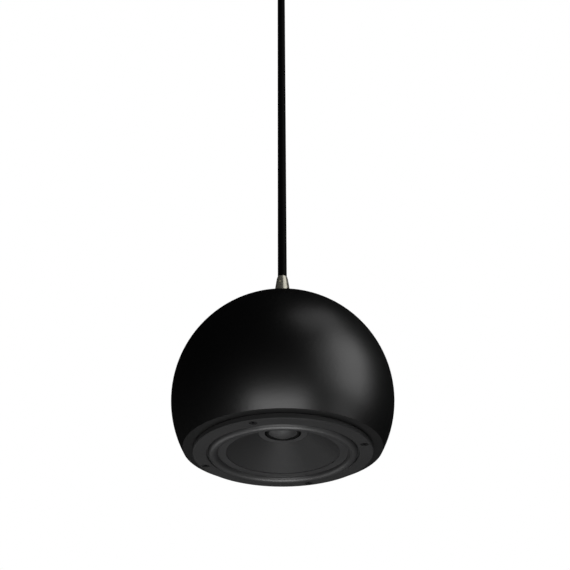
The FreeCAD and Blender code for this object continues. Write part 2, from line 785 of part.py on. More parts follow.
# Tweeter dome: thin formed cap with its own flat edge, glued on the ledge.
dome_sphere = "((dome_radius^2 + dome_rise^2) / (2 * dome_rise))"
dome_inner_sphere = f"({dome_sphere} - dome_thickness)"
dome_edge_low = f"({ledge} - dome_thickness)"
dome_sphere_centre = f"({dome_edge_low} - dome_rise + {dome_sphere})"
dome = turned("tweeter_dome", driver_level, [
    ("0", f"{dome_edge_low} - dome_rise"),
    ("dome_radius", dome_edge_low, dome_sphere, 1),
    ("tweeter_ring_inner_radius - dome_fit", dome_edge_low),
    ("tweeter_ring_inner_radius - dome_fit", ledge),
    (f"sqrt({dome_inner_sphere}^2 - ({dome_sphere_centre} - {ledge})^2)", ledge),
    ("0", f"{dome_edge_low} - dome_rise + dome_thickness", dome_inner_sphere, -1),
])

# Tweeter magnet and its plate: small discs on the housing's floor.
tweeter_magnet = turned("tweeter_magnet", driver_level, [
    ("pole_bore_radius", "tweeter_magnet_low"),
    ("tweeter_magnet_radius", "tweeter_magnet_low"),
    ("tweeter_magnet_radius", "tweeter_back - tweeter_floor"),
    ("pole_bore_radius", "tweeter_back - tweeter_floor"),
])
tweeter_plate = turned("tweeter_plate", driver_level, [
    ("0", "tweeter_magnet_low - tweeter_plate_thickness"),
    ("tweeter_plate_radius", "tweeter_magnet_low - tweeter_plate_thickness"),
    ("tweeter_plate_radius", "tweeter_magnet_low"),
    ("0", "tweeter_magnet_low"),
])

# Terminal strip: insulating board upright against the basket's neck wall.
strip = new_body("terminal_strip", driver_level)
strip_sketch = new_sketch(strip, "YZ_Plane", "neck_wall_radius + strip_gap")
strip_low = "(neck_wall_height + 1)"
add_outline(strip_sketch, [
    ("-strip_width / 2", strip_low),
    ("strip_width / 2", strip_low),
    ("strip_width / 2", f"{strip_low} + strip_height"),
    ("-strip_width / 2", f"{strip_low} + strip_height"),
])
pad(strip, strip_sketch, "strip_thickness")

# Terminal tabs: two flat brass tabs riveted to the strip, each with a hole for its wire.
tab = new_body("terminal_tab", "0")
tab_sketch = new_sketch(tab, "YZ_Plane", "neck_wall_radius + strip_gap + strip_thickness")
tab_low = f"({strip_low} + 2)"
add_outline(tab_sketch, [
    ("-tab_width / 2", tab_low),
    ("tab_width / 2", tab_low),
    ("tab_width / 2", f"{tab_low} + tab_length - 1"),
    ("tab_width / 2 - 1", f"{tab_low} + tab_length"),
    ("-tab_width / 2 + 1", f"{tab_low} + tab_length"),
    ("-tab_width / 2", f"{tab_low} + tab_length - 1"),
])
pad(tab, tab_sketch, "tab_thickness")
tab_hole = new_sketch(tab, "YZ_Plane", "neck_wall_radius + strip_gap + strip_thickness + tab_thickness")
add_circle(tab_hole, "0", f"{tab_low} + tab_length - 4 * tab_hole_radius", "tab_hole_radius")
pocket(tab, tab_hole, "tab_thickness + 1")
tab_places = [Placement(Vector(0, side * value("tab_spacing") / 2, 0), Rotation()) for side in (-1, 1)]
tabs = group("terminal_tabs", driver_level, [placed(tab.Shape, place) for place in tab_places])

# Board standoffs: three sleeves between the back plate and the crossover board.
standoff = turned("board_standoff", "0", [
    ("board_screw_radius + thread_clearance", "motor_back"),
    ("standoff_radius", "motor_back"),
    ("standoff_radius", "motor_back + standoff_length"),
    ("board_screw_radius + thread_clearance", "motor_back + standoff_length"),
])
standoff_places = list(ring_places("standoff_count", "standoff_circle_radius", 90.0))
standoffs = group("board_standoffs", driver_level,
                  [placed(standoff.Shape, place) for place in standoff_places])

# Crossover board: round board with three screw holes.
board = turned("crossover_board", driver_level, [
    ("0", "motor_back + standoff_length"),
    ("board_radius", "motor_back + standoff_length"),
    ("board_radius", "board_back"),
    ("0", "board_back"),
])
board_holes = new_sketch(board, "XY_Plane", "motor_back")
add_circle(board_holes, "standoff_circle_radius * cos(90)", "standoff_circle_radius * sin(90)",
           "board_screw_radius + screw_clearance")
board_hole = pocket(board, board_holes, "standoff_length + board_thickness * 2", reverse=True)
polar(board, board_hole, "standoff_count")

# Board screws: three small slotted screws down into the standoffs.
board_screw = turned("board_screw", "0", [
    ("0", "board_back + board_screw_head_height"),
    ("0", "board_back - board_screw_length"),
    ("board_screw_radius", "board_back - board_screw_length"),
    ("board_screw_radius", "board_back"),
    ("board_screw_head_radius", "board_back"),
    ("board_screw_head_radius", "board_back + board_screw_head_height * 0.5"),
    ("board_screw_head_radius * 0.7", "board_back + board_screw_head_height"),
])
slot_head(board_screw, "board_back + board_screw_head_height", "board_screw_head_radius", "board_screw_slot")
board_screws = group("board_screws", driver_level,
                     [placed(board_screw.Shape, place) for place in standoff_places])

# Crossover inductor: moulded spool standing on the board, and the copper wound on it.
spool_core = "(inductor_core_radius + inductor_core_wall)"
spool_low = "(board_back + inductor_flange)"
spool_high = "(board_back + inductor_height - inductor_flange)"
inductor = turned("crossover_inductor", driver_level, [
    ("inductor_core_radius", "board_back"),
    ("inductor_radius", "board_back"),
    ("inductor_radius", spool_low),
    (spool_core, spool_low),
    (spool_core, spool_high),
    ("inductor_radius", spool_high),
    ("inductor_radius", "board_back + inductor_height"),
    ("inductor_core_radius", "board_back + inductor_height"),
])
winding = turned("inductor_winding", driver_level, [
    (spool_core, spool_low),
    ("inductor_radius - inductor_winding_depth", spool_low),
    ("inductor_radius - inductor_winding_depth", spool_high),
    (spool_core, spool_high),
])
for wound in (inductor, winding):
    wound.setExpression("Placement.Base.x", formula("-inductor_radius - 2"))

# Crossover capacitor: round can lying on the board.
capacitor = new_body("crossover_capacitor", driver_level)
capacitor_sketch = new_sketch(capacitor, "YZ_Plane", "1")
add_circle(capacitor_sketch, "-capacitor_radius - 6", "board_back + capacitor_radius", "capacitor_radius")
pad(capacitor, capacitor_sketch, "capacitor_length")

# Crossover resistor: ceramic block lying on the board.
resistor = new_body("crossover_resistor", driver_level)
resistor_sketch = new_sketch(resistor, "YZ_Plane", "1")
add_outline(resistor_sketch, [
    ("4", "board_back"),
    ("4 + resistor_side", "board_back"),
    ("4 + resistor_side", "board_back + resistor_side - 1"),
    ("3 + resistor_side", "board_back + resistor_side"),
    ("5", "board_back + resistor_side"),
    ("4", "board_back + resistor_side - 1"),
])
pad(resistor, resistor_sketch, "resistor_length")

# Board terminal block: takes the cord's two cores, with a clamp screw's well for each in its side.
block = new_body("board_terminal_block", driver_level)
block_sketch = new_sketch(block, "XY_Plane", "board_back")
add_outline(block_sketch, [
    ("-block_length - 8", "-block_side - 14"),
    ("-8", "-block_side - 14"),
    ("-8", "-14"),
    ("-block_length - 8", "-14"),
])
pad(block, block_sketch, "block_side")
block_wells = new_sketch(block, "XZ_Plane", "block_side + 14")
for side in (-1, 1):
    add_circle(block_wells, f"-block_length / 2 - 8 + {side} * block_well_spacing / 2",
               "board_back + block_side / 2", "block_well_radius")
pocket(block, block_wells, "block_well_depth")

# Damping lining: felt inside the upper half of the ball, cut out round the hanger.
lining_outer = "(inner_radius - lining_gap)"
lining_inner = f"({lining_outer} - lining_thickness)"
lining = turned("damping_lining", ball_level, [
    (f"sqrt({lining_outer}^2 - lining_low_edge^2)", "lining_low_edge"),
    ("lining_hole_radius", f"sqrt({lining_outer}^2 - lining_hole_radius^2)", lining_outer, 1),
    ("lining_hole_radius", f"sqrt({lining_inner}^2 - lining_hole_radius^2)"),
    (f"sqrt({lining_inner}^2 - lining_low_edge^2)", "lining_low_edge", lining_inner, -1),
])


def cord_grip(label, level):
    """Conical metal grip with its hollow nipple, base at zero height, and a side hole for the grub screw."""
    body = turned(label, level, [
        ("cord_bore_radius", "-nipple_length"),
        ("nipple_radius", "-nipple_length"),
        ("nipple_radius", "0"),
        ("grip_base_radius", "0"),
        ("grip_base_radius", "grip_foot"),
        ("grip_neck_radius", "grip_cone_height"),
        ("grip_lip_radius", "grip_height"),
        ("cord_bore_radius", "grip_height"),
    ])
    hole = new_sketch(body, "XZ_Plane")
    add_circle(hole, "0", "grub_height", "grub_radius")
    pocket(body, hole, "grip_base_radius", reverse=True)
    return body


def grub_screw(label, level):
    """Headless screw with a hex socket, flush in the grip's side and just clear of the cord."""
    face_radius = ("(grip_base_radius - (grip_base_radius - grip_neck_radius)"
                   " * (grub_height - grip_foot) / (grip_cone_height - grip_foot))")
    outer_face = f"({face_radius} - grub_sink)"
    body = new_body(label, level)
    shank = new_sketch(body, "XZ_Plane", "cord_bore_radius")
    add_circle(shank, "0", "grub_height", "grub_radius - thread_clearance")
    pad(body, shank, f"{outer_face} - cord_bore_radius")
    recess = new_sketch(body, "XZ_Plane", outer_face)
    add_outline(recess, [(x, f"grub_height + {y}") for x, y in hexagon("grub_socket_radius * sqrt(3)")])
    pocket(body, recess, "grub_socket_depth")
    return body


def locknut(label, level, low):
    """Flat hexagon nut with a threaded bore, from the height low upwards."""
    body = new_body(label, level)
    nut_sketch = new_sketch(body, "XY_Plane", low)
    add_outline(nut_sketch, hexagon("locknut_flats"))
    add_circle(nut_sketch, "0", "0", "nipple_radius + thread_clearance")
    pad(body, nut_sketch, "locknut_height")
    return body


def washer(label, level, low):
    """Flat washer round the nipple, from the height low upwards."""
    return turned(label, level, [
        ("nipple_hole_radius", low),
        ("washer_radius", low),
        ("washer_radius", f"{low} + washer_thickness"),
        ("nipple_hole_radius", f"{low} + washer_thickness"),
    ])


def cord_stop(label, level, low):
    """Split clamp ring on the cord behind the nipple. It carries the pull on the cord."""
    body = turned(label, level, [
        ("cord_bore_radius", low),
        ("stop_radius", low),
        ("stop_radius", f"{low} + stop_height"),
        ("cord_bore_radius", f"{low} + stop_height"),
    ])
    slot = new_sketch(body, "XY_Plane", f"{low} - 1")
    add_outline(slot, [
        ("0", "-stop_slot / 2"),
        ("stop_radius + 1", "-stop_slot / 2"),
        ("stop_radius + 1", "stop_slot / 2"),
        ("0", "stop_slot / 2"),
    ])
    pocket(body, slot, "stop_height + 2", reverse=True)
    bore = new_sketch(body, "XZ_Plane", "-stop_radius")
    add_circle(bore, "stop_screw_offset", f"{low} + stop_height / 2", "stop_screw_radius + thread_clearance")
    pocket(body, bore, "stop_radius * 2", reverse=True)
    return body


def stop_screw(label, level, low):
    """Small headless screw with a hex socket, across the clamp ring's slot."""
    reach = "sqrt(stop_radius^2 - stop_screw_offset^2)"
    body = new_body(label, level)
    shank = new_sketch(body, "XZ_Plane", f"-{reach}")
    add_circle(shank, "stop_screw_offset", f"{low} + stop_height / 2", "stop_screw_radius")
    pad(body, shank, f"{reach} * 2")
    recess = new_sketch(body, "XZ_Plane", reach)
    add_outline(recess, [(f"stop_screw_offset + {x}", f"{low} + stop_height / 2 + {y}")
                         for x, y in hexagon("stop_socket_flats")])
    pocket(body, recess, "stop_socket_depth")
    return body


# Hanger in the top of the ball: conical grip, grub screw, washer, locknut, clamp ring and its screw.
lower_grip = cord_grip("cord_grip", grip_level)
lower_grub = grub_screw("cord_grip_screw", grip_level)
lower_washer_low = "(-top_pad_thickness - washer_thickness)"
lower_washer = washer("hanger_washer", grip_level, lower_washer_low)
lower_nut = locknut("hanger_locknut", grip_level, f"({lower_washer_low} - locknut_height)")
lower_stop_low = "(-nipple_length - stop_height)"
lower_stop = cord_stop("cord_stop", grip_level, lower_stop_low)
lower_stop_screw = stop_screw("cord_stop_screw", grip_level, lower_stop_low)

# Ceiling rose: the same hanger upside down in the floor of a spun cup.
rose_floor_inside = "(-canopy_depth + canopy_wall)"
canopy = turned("ceiling_canopy", ceiling_level, [
    ("nipple_hole_radius", "-canopy_depth"),
    ("canopy_radius - canopy_edge", "-canopy_depth"),
    ("canopy_radius", "canopy_edge - canopy_depth", "canopy_edge", 1),
    ("canopy_radius", "0"),
    ("canopy_radius - canopy_wall", "0"),
    ("canopy_radius - canopy_wall", "canopy_edge - canopy_depth"),
    ("canopy_radius - canopy_edge", rose_floor_inside, "canopy_edge - canopy_wall", -1),
    ("nipple_hole_radius", rose_floor_inside),
])
side_holes = new_sketch(canopy, "YZ_Plane", "-canopy_radius - 1")
add_circle(side_holes, "0", "-side_screw_height", "side_screw_radius + screw_clearance")
pocket(canopy, side_holes, "canopy_radius * 2 + 2", reverse=True)

# Ceiling bracket: bent steel strap with two ceiling holes and a tapped ear at each end.
bracket = new_body("ceiling_bracket", ceiling_level)
strap = new_sketch(bracket, "XZ_Plane", "-bracket_width / 2")
add_outline(strap, [
    ("-bracket_reach", "-bracket_ear"),
    ("-bracket_reach + bracket_thickness", "-bracket_ear"),
    ("-bracket_reach + bracket_thickness", "-bracket_thickness"),
    ("bracket_reach - bracket_thickness", "-bracket_thickness"),
    ("bracket_reach - bracket_thickness", "-bracket_ear"),
    ("bracket_reach", "-bracket_ear"),
    ("bracket_reach", "-bracket_thickness"),
    ("bracket_reach - bracket_thickness", "0", "bracket_thickness", 1),
    ("-bracket_reach + bracket_thickness", "0"),
    ("-bracket_reach", "-bracket_thickness", "bracket_thickness", 1),
])
pad(bracket, strap, "bracket_width")
ceiling_holes = new_sketch(bracket, "XY_Plane", "-bracket_thickness - 1")
add_circle(ceiling_holes, "ceiling_hole_spacing / 2", "0", "ceiling_hole_radius")
add_circle(ceiling_holes, "-ceiling_hole_spacing / 2", "0", "ceiling_hole_radius")
pocket(bracket, ceiling_holes, "bracket_thickness + 2", reverse=True)
ear_holes = new_sketch(bracket, "YZ_Plane", "-bracket_reach - 1")
add_circle(ear_holes, "0", "-side_screw_height", "side_screw_radius + thread_clearance")
pocket(bracket, ear_holes, "bracket_reach * 2 + 2", reverse=True)

# Canopy screws: one slotted screw each side, through the cup's wall into the bracket's ears.
side_screw = turned("canopy_screw", "0", [
    ("0", "side_screw_head_height"),
    ("0", "-(canopy_radius - bracket_reach + side_screw_inside)"),
    ("side_screw_radius", "-(canopy_radius - bracket_reach + side_screw_inside)"),
    ("side_screw_radius", "0.1"),
    ("side_screw_head_radius", "0.1"),
    ("side_screw_head_radius", "side_screw_head_height * 0.6"),
    ("side_screw_head_radius * 0.75", "side_screw_head_height"),
])
slot_head(side_screw, "side_screw_head_height", "side_screw_head_radius", "side_screw_slot")
side_shapes = []
for side in (-1, 1):
    facing = Rotation(Vector(0, 1, 0), 90.0 * side)
    place = Placement(Vector(side * value("canopy_radius"), 0, -value("side_screw_height")), facing)
    side_shapes.append(placed(side_screw.Shape, place))
canopy_screws = group("canopy_screws", ceiling_level, side_shapes)

# Rose terminal block: joins the cord's cores to the house wiring. Its clamp screws stand in four wells.
rose_block = new_body("rose_terminal_block", ceiling_level)
rose_block_sketch = new_sketch(rose_block, "XY_Plane", "-bracket_thickness - rose_block_height")
add_outline(rose_block_sketch, [
    ("rose_block_start", "-rose_block_width / 2"),
    ("rose_block_start + rose_block_length", "-rose_block_width / 2"),
    ("rose_block_start + rose_block_length", "rose_block_width / 2"),
    ("rose_block_start", "rose_block_width / 2"),
])
pad(rose_block, rose_block_sketch, "rose_block_height")
rose_wells = new_sketch(rose_block, "XY_Plane", "-bracket_thickness - rose_block_height")
rose_entries = new_sketch(rose_block, "YZ_Plane", "rose_block_start + rose_block_length")
for side in (-1, 1):
    beside = f"{side} * rose_well_spacing / 2"
    add_circle(rose_entries, beside, "-bracket_thickness - rose_block_height / 2", "rose_entry_radius")
    for share in (0.25, 0.75):
        add_circle(rose_wells, f"rose_block_start + rose_block_length * {share}", beside, "rose_well_radius")
pocket(rose_block, rose_wells, "rose_well_depth", reverse=True)
pocket(rose_block, rose_entries, "rose_entry_depth")

# The rose's hanger is the ball's hanger turned over, with its base on the underside of the cup.
flipped = Placement(Vector(0, 0, -value("canopy_depth")), Rotation(Vector(1, 0, 0), 180))
rose_washer_low = "(-canopy_wall - washer_thickness)"
rose_parts = {
    "rose_cord_grip": cord_grip("rose_grip_model", "0"),
    "rose_grip_screw": grub_screw("rose_grub_model", "0"),
    "rose_washer": washer("rose_washer_model", "0", rose_washer_low),
    "rose_locknut": locknut("rose_nut_model", "0", f"({rose_washer_low} - locknut_height)"),
    "rose_cord_stop": cord_stop("rose_stop_model", "0", lower_stop_low),
    "rose_stop_screw": stop_screw("rose_stop_screw_model", "0", lower_stop_low),
}
rose_hanger = [group(label, ceiling_level, [placed(model.Shape, flipped)])
               for label, model in rose_parts.items()]

# Cord: one straight round cable. Its free stretch and its two clamped ends meet face to face.
free_low = value(f"{grip_level} + grip_height")
free_high = value("-canopy_depth - grip_height")
tail_low = value(f"{grip_level} + {lower_stop_low} - cord_tail")
tail_high = value(f"-canopy_depth - ({lower_stop_low}) + cord_tail")
cord_stretches = {
    "cord_lower_end": (tail_low, free_low),
    "cord": (free_low, free_high),
    "cord_upper_end": (free_high, tail_high),
}
cord_pieces = []
for label, (low, high) in cord_stretches.items():
    run = tube([Vector(0, 0, low), Vector(0, 0, high)], value("cord_radius"))
    cord_pieces.append(group(label, ceiling_level, [run]))


def pair_of_wires(label, points, spacing, radius, level=driver_level):
    """Two equal wires side by side along a route, as one node."""
    shapes = []
    for side in (-1, 1):
        shift = spacing * (side / 2.0)
        shapes.append(tube([point + shift for point in points], radius))
    return group(label, level, shapes)


# Wires inside the ball. Heights are the driver's.
cord_end = value(f"{grip_level} + {lower_stop_low} - cord_tail - ({driver_level})")
block_top = value("board_back + block_side")
side_by_side = value("wire_spacing")
thin_wire = value("wire_radius")
lead_rise = value("lead_rise")
block_x = value("-block_length / 2 - 8")
block_y = value("-block_side / 2 - 14")
input_leads = pair_of_wires("input_leads", [
    Vector(0, 0, cord_end),
    Vector(0, 0, cord_end - lead_rise),
    Vector(block_x, block_y, block_top + lead_rise),
    Vector(block_x, block_y, block_top),
], Vector(side_by_side, 0, 0), thin_wire)

tab_top = value(f"{tab_low} + tab_length")
tab_x = value("neck_wall_radius + strip_gap + strip_thickness + tab_thickness / 2")
board_top = value("board_back")
board_lead_x = value("board_radius - board_lead_inset")
woofer_leads = pair_of_wires("woofer_leads", [
    Vector(tab_x, 0, tab_top),
    Vector(tab_x, 0, board_top + lead_rise),
    Vector(board_lead_x, 0, board_top + lead_rise),
    Vector(board_lead_x, 0, board_top),
], Vector(0, value("tab_spacing"), 0), thin_wire)

tweeter_leads = pair_of_wires("tweeter_leads", [
    Vector(0, 0, value("tweeter_magnet_low")),
    Vector(0, 0, value("motor_back + standoff_length")),
], Vector(value("pole_wire_spacing"), 0, 0), thin_wire)

# Rose leads: the cord's two cores, bent over into the rose's terminal block. Heights are the ceiling's.
rose_core_end = value(f"-canopy_depth - ({lower_stop_low}) + cord_tail")
rose_core_height = value("-bracket_thickness - rose_block_height / 2")
rose_leads = pair_of_wires("rose_leads", [
    Vector(0, 0, rose_core_end),
    Vector(0, 0, rose_core_height),
    Vector(value("rose_block_start"), 0, rose_core_height),
], Vector(0, side_by_side, 0), thin_wire, ceiling_level)

# Tinsel leads: two soft braids from the tabs, through the basket's windows, to the back of the cone.
tinsel_radius = value("tinsel_radius")
tab_foot = value(tab_low)
tinsel_x = value("neck_wall_radius + strip_gap + strip_thickness + tinsel_radius + strip_gap")
tinsel_y = value("tab_spacing / 2 + tinsel_radius")
cone_back = value(f"{cone_front('tinsel_cone_radius')} + cone_shift")
cone_tilt = math.atan(value("cone_slope"))
cone_normal = Vector(math.sin(cone_tilt), 0, math.cos(cone_tilt))
window_middle = "(window_inner_radius + window_outer_radius) / 2"
wall_tilt = math.atan(value(wall_slope))
wall_normal = Vector(math.sin(wall_tilt), 0, math.cos(wall_tilt))
opening_height = value(f"basket_straight + (basket_radius - {window_middle}) * {wall_slope}")
opening = Vector(value(window_middle), 0, opening_height)
bow = value("tinsel_bow")
braids = []
for side in (-1, 1):
    to_window = Rotation(Vector(0, 0, 1), side * value("tinsel_window_azimuth"))
    to_cone = Rotation(Vector(0, 0, 1), side * value("tinsel_azimuth"))
    glued = Vector(value("tinsel_cone_radius"), 0, cone_back)
    braids.append(tube([
        Vector(tinsel_x, side * tinsel_y, tab_foot - 0.1),
        Vector(tinsel_x, side * tinsel_y, tab_foot - bow),
        to_window.multVec(opening + wall_normal * bow),
        to_window.multVec(opening - wall_normal * (bow + value("basket_wall"))),
        to_cone.multVec(glued + cone_normal * value("tinsel_lift")),
        to_cone.multVec(glued + cone_normal * 0.1),
    ], tinsel_radius))
tinsel_leads = group("tinsel_leads", driver_level, braids)

parts = [
    shell, baffle, inserts, gasket, frame, trim, screws, surround, cone, collar, former, coil, spider,
    top_plate, magnet, back_plate, post, tweeter_housing, dome, tweeter_magnet, tweeter_plate,
    strip, tabs, standoffs, board, board_screws, inductor, winding, capacitor, resistor, block, lining,
    lower_grip, lower_grub, lower_washer, lower_nut, lower_stop, lower_stop_screw,
    canopy, bracket, canopy_screws, rose_block, *rose_hanger, *cord_pieces,
    input_leads, woofer_leads, tweeter_leads, rose_leads, tinsel_leads,
]

doc.recompute()
for item in doc.Objects:
    if "Invalid" in item.State or "Error" in item.State:
        raise ValueError(f"{item.Label} did not build")
os.makedirs("parts", exist_ok=True)
for part in parts:
    if part.Shape.isNull() or not part.Shape.isValid() or not part.Shape.Solids:
        raise ValueError(f"{part.Label} has no valid solid")
    part.Shape.exportStep(f"parts/{part.Label}.step")
    print(part.Label, round(part.Shape.Volume / 1000, 2), "cm3")
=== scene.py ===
import math

import bpy
from mathutils import Matrix, Vector, noise
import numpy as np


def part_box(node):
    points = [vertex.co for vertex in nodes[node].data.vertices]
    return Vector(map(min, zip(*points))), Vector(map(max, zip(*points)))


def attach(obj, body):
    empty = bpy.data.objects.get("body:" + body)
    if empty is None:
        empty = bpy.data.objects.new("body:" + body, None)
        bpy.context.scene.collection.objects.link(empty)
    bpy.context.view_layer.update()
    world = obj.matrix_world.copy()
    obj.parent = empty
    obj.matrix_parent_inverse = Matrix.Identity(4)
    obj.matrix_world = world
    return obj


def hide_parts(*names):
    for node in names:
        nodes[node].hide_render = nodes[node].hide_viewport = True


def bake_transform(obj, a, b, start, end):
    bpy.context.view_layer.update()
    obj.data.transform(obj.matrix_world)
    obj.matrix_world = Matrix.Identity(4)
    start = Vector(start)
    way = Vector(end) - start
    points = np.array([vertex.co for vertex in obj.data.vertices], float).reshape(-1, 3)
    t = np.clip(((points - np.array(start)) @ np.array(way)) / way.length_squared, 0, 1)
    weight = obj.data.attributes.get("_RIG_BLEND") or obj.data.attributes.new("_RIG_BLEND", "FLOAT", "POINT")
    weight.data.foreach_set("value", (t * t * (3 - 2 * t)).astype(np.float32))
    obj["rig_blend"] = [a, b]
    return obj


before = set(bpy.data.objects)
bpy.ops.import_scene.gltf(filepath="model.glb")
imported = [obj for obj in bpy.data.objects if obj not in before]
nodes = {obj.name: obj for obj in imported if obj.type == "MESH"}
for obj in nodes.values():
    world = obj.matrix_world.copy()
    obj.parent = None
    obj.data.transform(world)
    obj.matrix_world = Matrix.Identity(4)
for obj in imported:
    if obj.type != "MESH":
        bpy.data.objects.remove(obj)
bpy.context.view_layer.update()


# Camera: below the ball and 19 degrees to the right of its front, looking up at it as the photograph does.
# The picture has no shift, so the other views frame the part the same way.
def put_in_scene(name, data):
    """A new object with this data, at the scene's origin."""
    placed = bpy.data.objects.new(name, data)
    bpy.context.scene.collection.objects.link(placed)
    return placed


camera_data = bpy.data.cameras.new("camera")
camera_data.lens = 55.58
camera_data.sensor_width = 36.0
camera_data.clip_end = 60.0
camera = put_in_scene("camera", camera_data)
camera.location = (0.24898, -0.71698, -1.02993)
camera.rotation_euler = [math.radians(angle) for angle in (122.762, 0.281, 19.124)]
bpy.context.scene.camera = camera


# Cord: round cable with a smooth black sheath, gripped at both ends and pulled straight by the ball's weight.
# It leaves the ball's conical grip and ends in the ceiling cup's grip, just above the picture.
class Wire:
    """An output socket of a node tree. Arithmetic between wires and numbers adds Math nodes to the tree."""

    def __init__(self, tree, socket=None):
        self.tree = tree
        self.socket = socket

    def node(self, kind, settings=None, inputs=None, output=0):
        """Adds any node: its settings by name, its inputs by name or number, and gives one of its outputs."""
        added = self.tree.nodes.new(kind)
        for name, setting in (settings or {}).items():
            setattr(added, name, setting)
        for key, item in (inputs or {}).items():
            if isinstance(item, Wire):
                self.tree.links.new(item.socket, added.inputs[key])
            else:
                added.inputs[key].default_value = item
        return Wire(self.tree, added.outputs[output])

    def maths(self, operation, *items):
        """A Math node over wires and numbers."""
        return self.node("ShaderNodeMath", {"operation": operation}, dict(enumerate(items)))

    def __add__(self, other):
        return self.maths("ADD", self, other)

    def __sub__(self, other):
        return self.maths("SUBTRACT", self, other)

    def __rsub__(self, other):
        return self.maths("SUBTRACT", other, self)

    def __mul__(self, other):
        return self.maths("MULTIPLY", self, other)

    def __truediv__(self, other):
        return self.maths("DIVIDE", self, other)

    def __rtruediv__(self, other):
        return self.maths("DIVIDE", other, self)

    __radd__ = __add__
    __rmul__ = __mul__

    def noise(self, scale, detail=3.0, roughness=0.5):
        """Noise from -1 to 1 over this vector."""
        inputs = {"Vector": self, "Scale": scale, "Detail": detail, "Roughness": roughness}
        return self.node("ShaderNodeTexNoise", {}, inputs) * 2.0 - 1.0

    def tint(self, dark, light):
        """A colour between two colours, by this value from 0 to 1."""
        inputs = {0: self, 6: (*dark, 1.0), 7: (*light, 1.0)}
        return self.node("ShaderNodeMix", {"data_type": "RGBA"}, inputs, output=2)

    def shade(self, dark, light):
        """A colour between two colours, by this noise from -1 to 1."""
        return (self * 0.5 + 0.5).tint(dark, light)

    def weave(self, pitch):
        """A woven check from -1 to 1 over this vector's X and Y."""
        x, y, _ = self.parts()
        return self.maths("SINE", x * pitch) * self.maths("SINE", y * pitch)

    def parts(self):
        """The X, Y and Z of this vector."""
        split = self.node("ShaderNodeSeparateXYZ", {}, {0: self}).socket.node
        return [Wire(self.tree, output) for output in split.outputs]

    def bump(self, depth):
        """A normal from this height, where 1 stands for depth metres."""
        return self.node("ShaderNodeBump", {}, {"Height": self, "Distance": depth, "Strength": 1.0})


class Finish:
    """A material with one Principled shader: its sockets take numbers, and wires for what varies."""

    def __init__(self, name, **constants):
        self.material = bpy.data.materials.new(name)
        self.material.use_nodes = True
        self.tree = self.material.node_tree
        self.shader = self.tree.nodes["Principled BSDF"]
        self.place = Wire(self.tree).node("ShaderNodeTexCoord", output="Object")
        self.put(**constants)

    def put(self, **inputs):
        """Sets or links sockets of the shader, named in small letters with underscores."""
        for name, item in inputs.items():
            socket = self.shader.inputs[name.replace("_", " ").title().replace("Ior", "IOR")]
            if isinstance(item, Wire):
                self.tree.links.new(item.socket, socket)
            else:
                socket.default_value = item

    def on(self, *names):
        """Gives the finish to CAD nodes."""
        for name in names:
            for slot in nodes[name].material_slots:
                slot.material = self.material


CORD_RADIUS = 0.0047
CORD_LOW, CORD_HIGH = -0.533, -0.0705
STRAIGHT_END = 0.056
cord_line = bpy.data.curves.new("hanging_cord", "CURVE")
cord_line.dimensions = "3D"
cord_line.bevel_depth = CORD_RADIUS
cord_line.bevel_resolution = 12
cord_line.use_fill_caps = True
spline = cord_line.splines.new("NURBS")
cord_heights = (CORD_LOW, CORD_LOW + STRAIGHT_END, CORD_HIGH - STRAIGHT_END, CORD_HIGH)
spline.points.add(len(cord_heights) - 1)
for point, height in zip(spline.points, cord_heights):
    point.co = (0.0, 0.0, height, 1.0)
spline.order_u = 3
spline.use_endpoint_u = True
hanging_cord = put_in_scene("hanging_cord", cord_line)
sheath = Finish("sheath", specular_ior_level=0.06)
grain = sheath.place.noise(900.0, 4.0)
smudge = sheath.place.noise(45.0, 2.0)
sheath.put(base_color=smudge.shade((0.0012, 0.0012, 0.0013), (0.0024, 0.0024, 0.0026)),
           roughness=0.5 + smudge * 0.05, normal=grain.bump(0.00001))
cord_line.materials.append(sheath.material)
sheath.on("cord_lower_end", "cord_upper_end")
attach(hanging_cord, "speaker")
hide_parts("cord")


# Ball: the closed shell of the enclosure, moulded in one with a flat turned-in rim below.
# Its finish is an even satin black with a very fine orange peel.
ball_black = Finish("ball_black", specular_ior_level=0.7)
peel = ball_black.place.noise(260.0, 3.0)
cloud = ball_black.place.noise(14.0, 3.0)
ball_black.put(base_color=cloud.shade((0.0010, 0.0010, 0.0011), (0.0018, 0.0018, 0.0019)),
               roughness=0.36 + cloud * 0.02, normal=peel.bump(0.00003))
ball_black.on("enclosure_shell")


# Trim ring and driver frame: a moulded ring that covers the surround's edge, on the flange of the cast frame.
# Both have a fine matt texture, a little lighter than the ball.
ring_black = Finish("ring_black", specular_ior_level=0.25)
sand = ring_black.place.noise(2200.0, 2.0)
cloud = ring_black.place.noise(30.0, 3.0)
ring_black.put(base_color=cloud.shade((0.016, 0.016, 0.0162), (0.022, 0.022, 0.0224)),
               roughness=0.55 + cloud * 0.04, normal=sand.bump(0.00003))
ring_black.on("trim_ring", "driver_frame")


# Frame screws and cup screws: black zinc-plated steel, a little polished on top by the driver bit. Four are
# sunk in the trim ring and hold the frame to the baffle ring, and two hold the ceiling cup to its strap.
screw_black = Finish("screw_black", metallic=0.8)
wear = screw_black.place.noise(700.0, 3.0)
screw_black.put(base_color=wear.shade((0.012, 0.012, 0.013), (0.03, 0.03, 0.032)),
                roughness=0.42 + wear * 0.08, normal=wear.bump(0.00002))
screw_black.on("frame_screws", "canopy_screws")


# Surround: a half roll of moulded rubber, glued into the frame's recess and to the cone's rim. It has a
# slight sheen, so its crest catches a thin line of light, and it bends as the cone moves.
rubber = Finish("rubber", specular_ior_level=0.6)
bloom = rubber.place.noise(60.0, 4.0)
skin = rubber.place.noise(1500.0, 2.0)
rubber.put(base_color=bloom.shade((0.017, 0.017, 0.0175), (0.023, 0.023, 0.0235)),
           roughness=0.42 + bloom * 0.04, normal=skin.bump(0.00002))


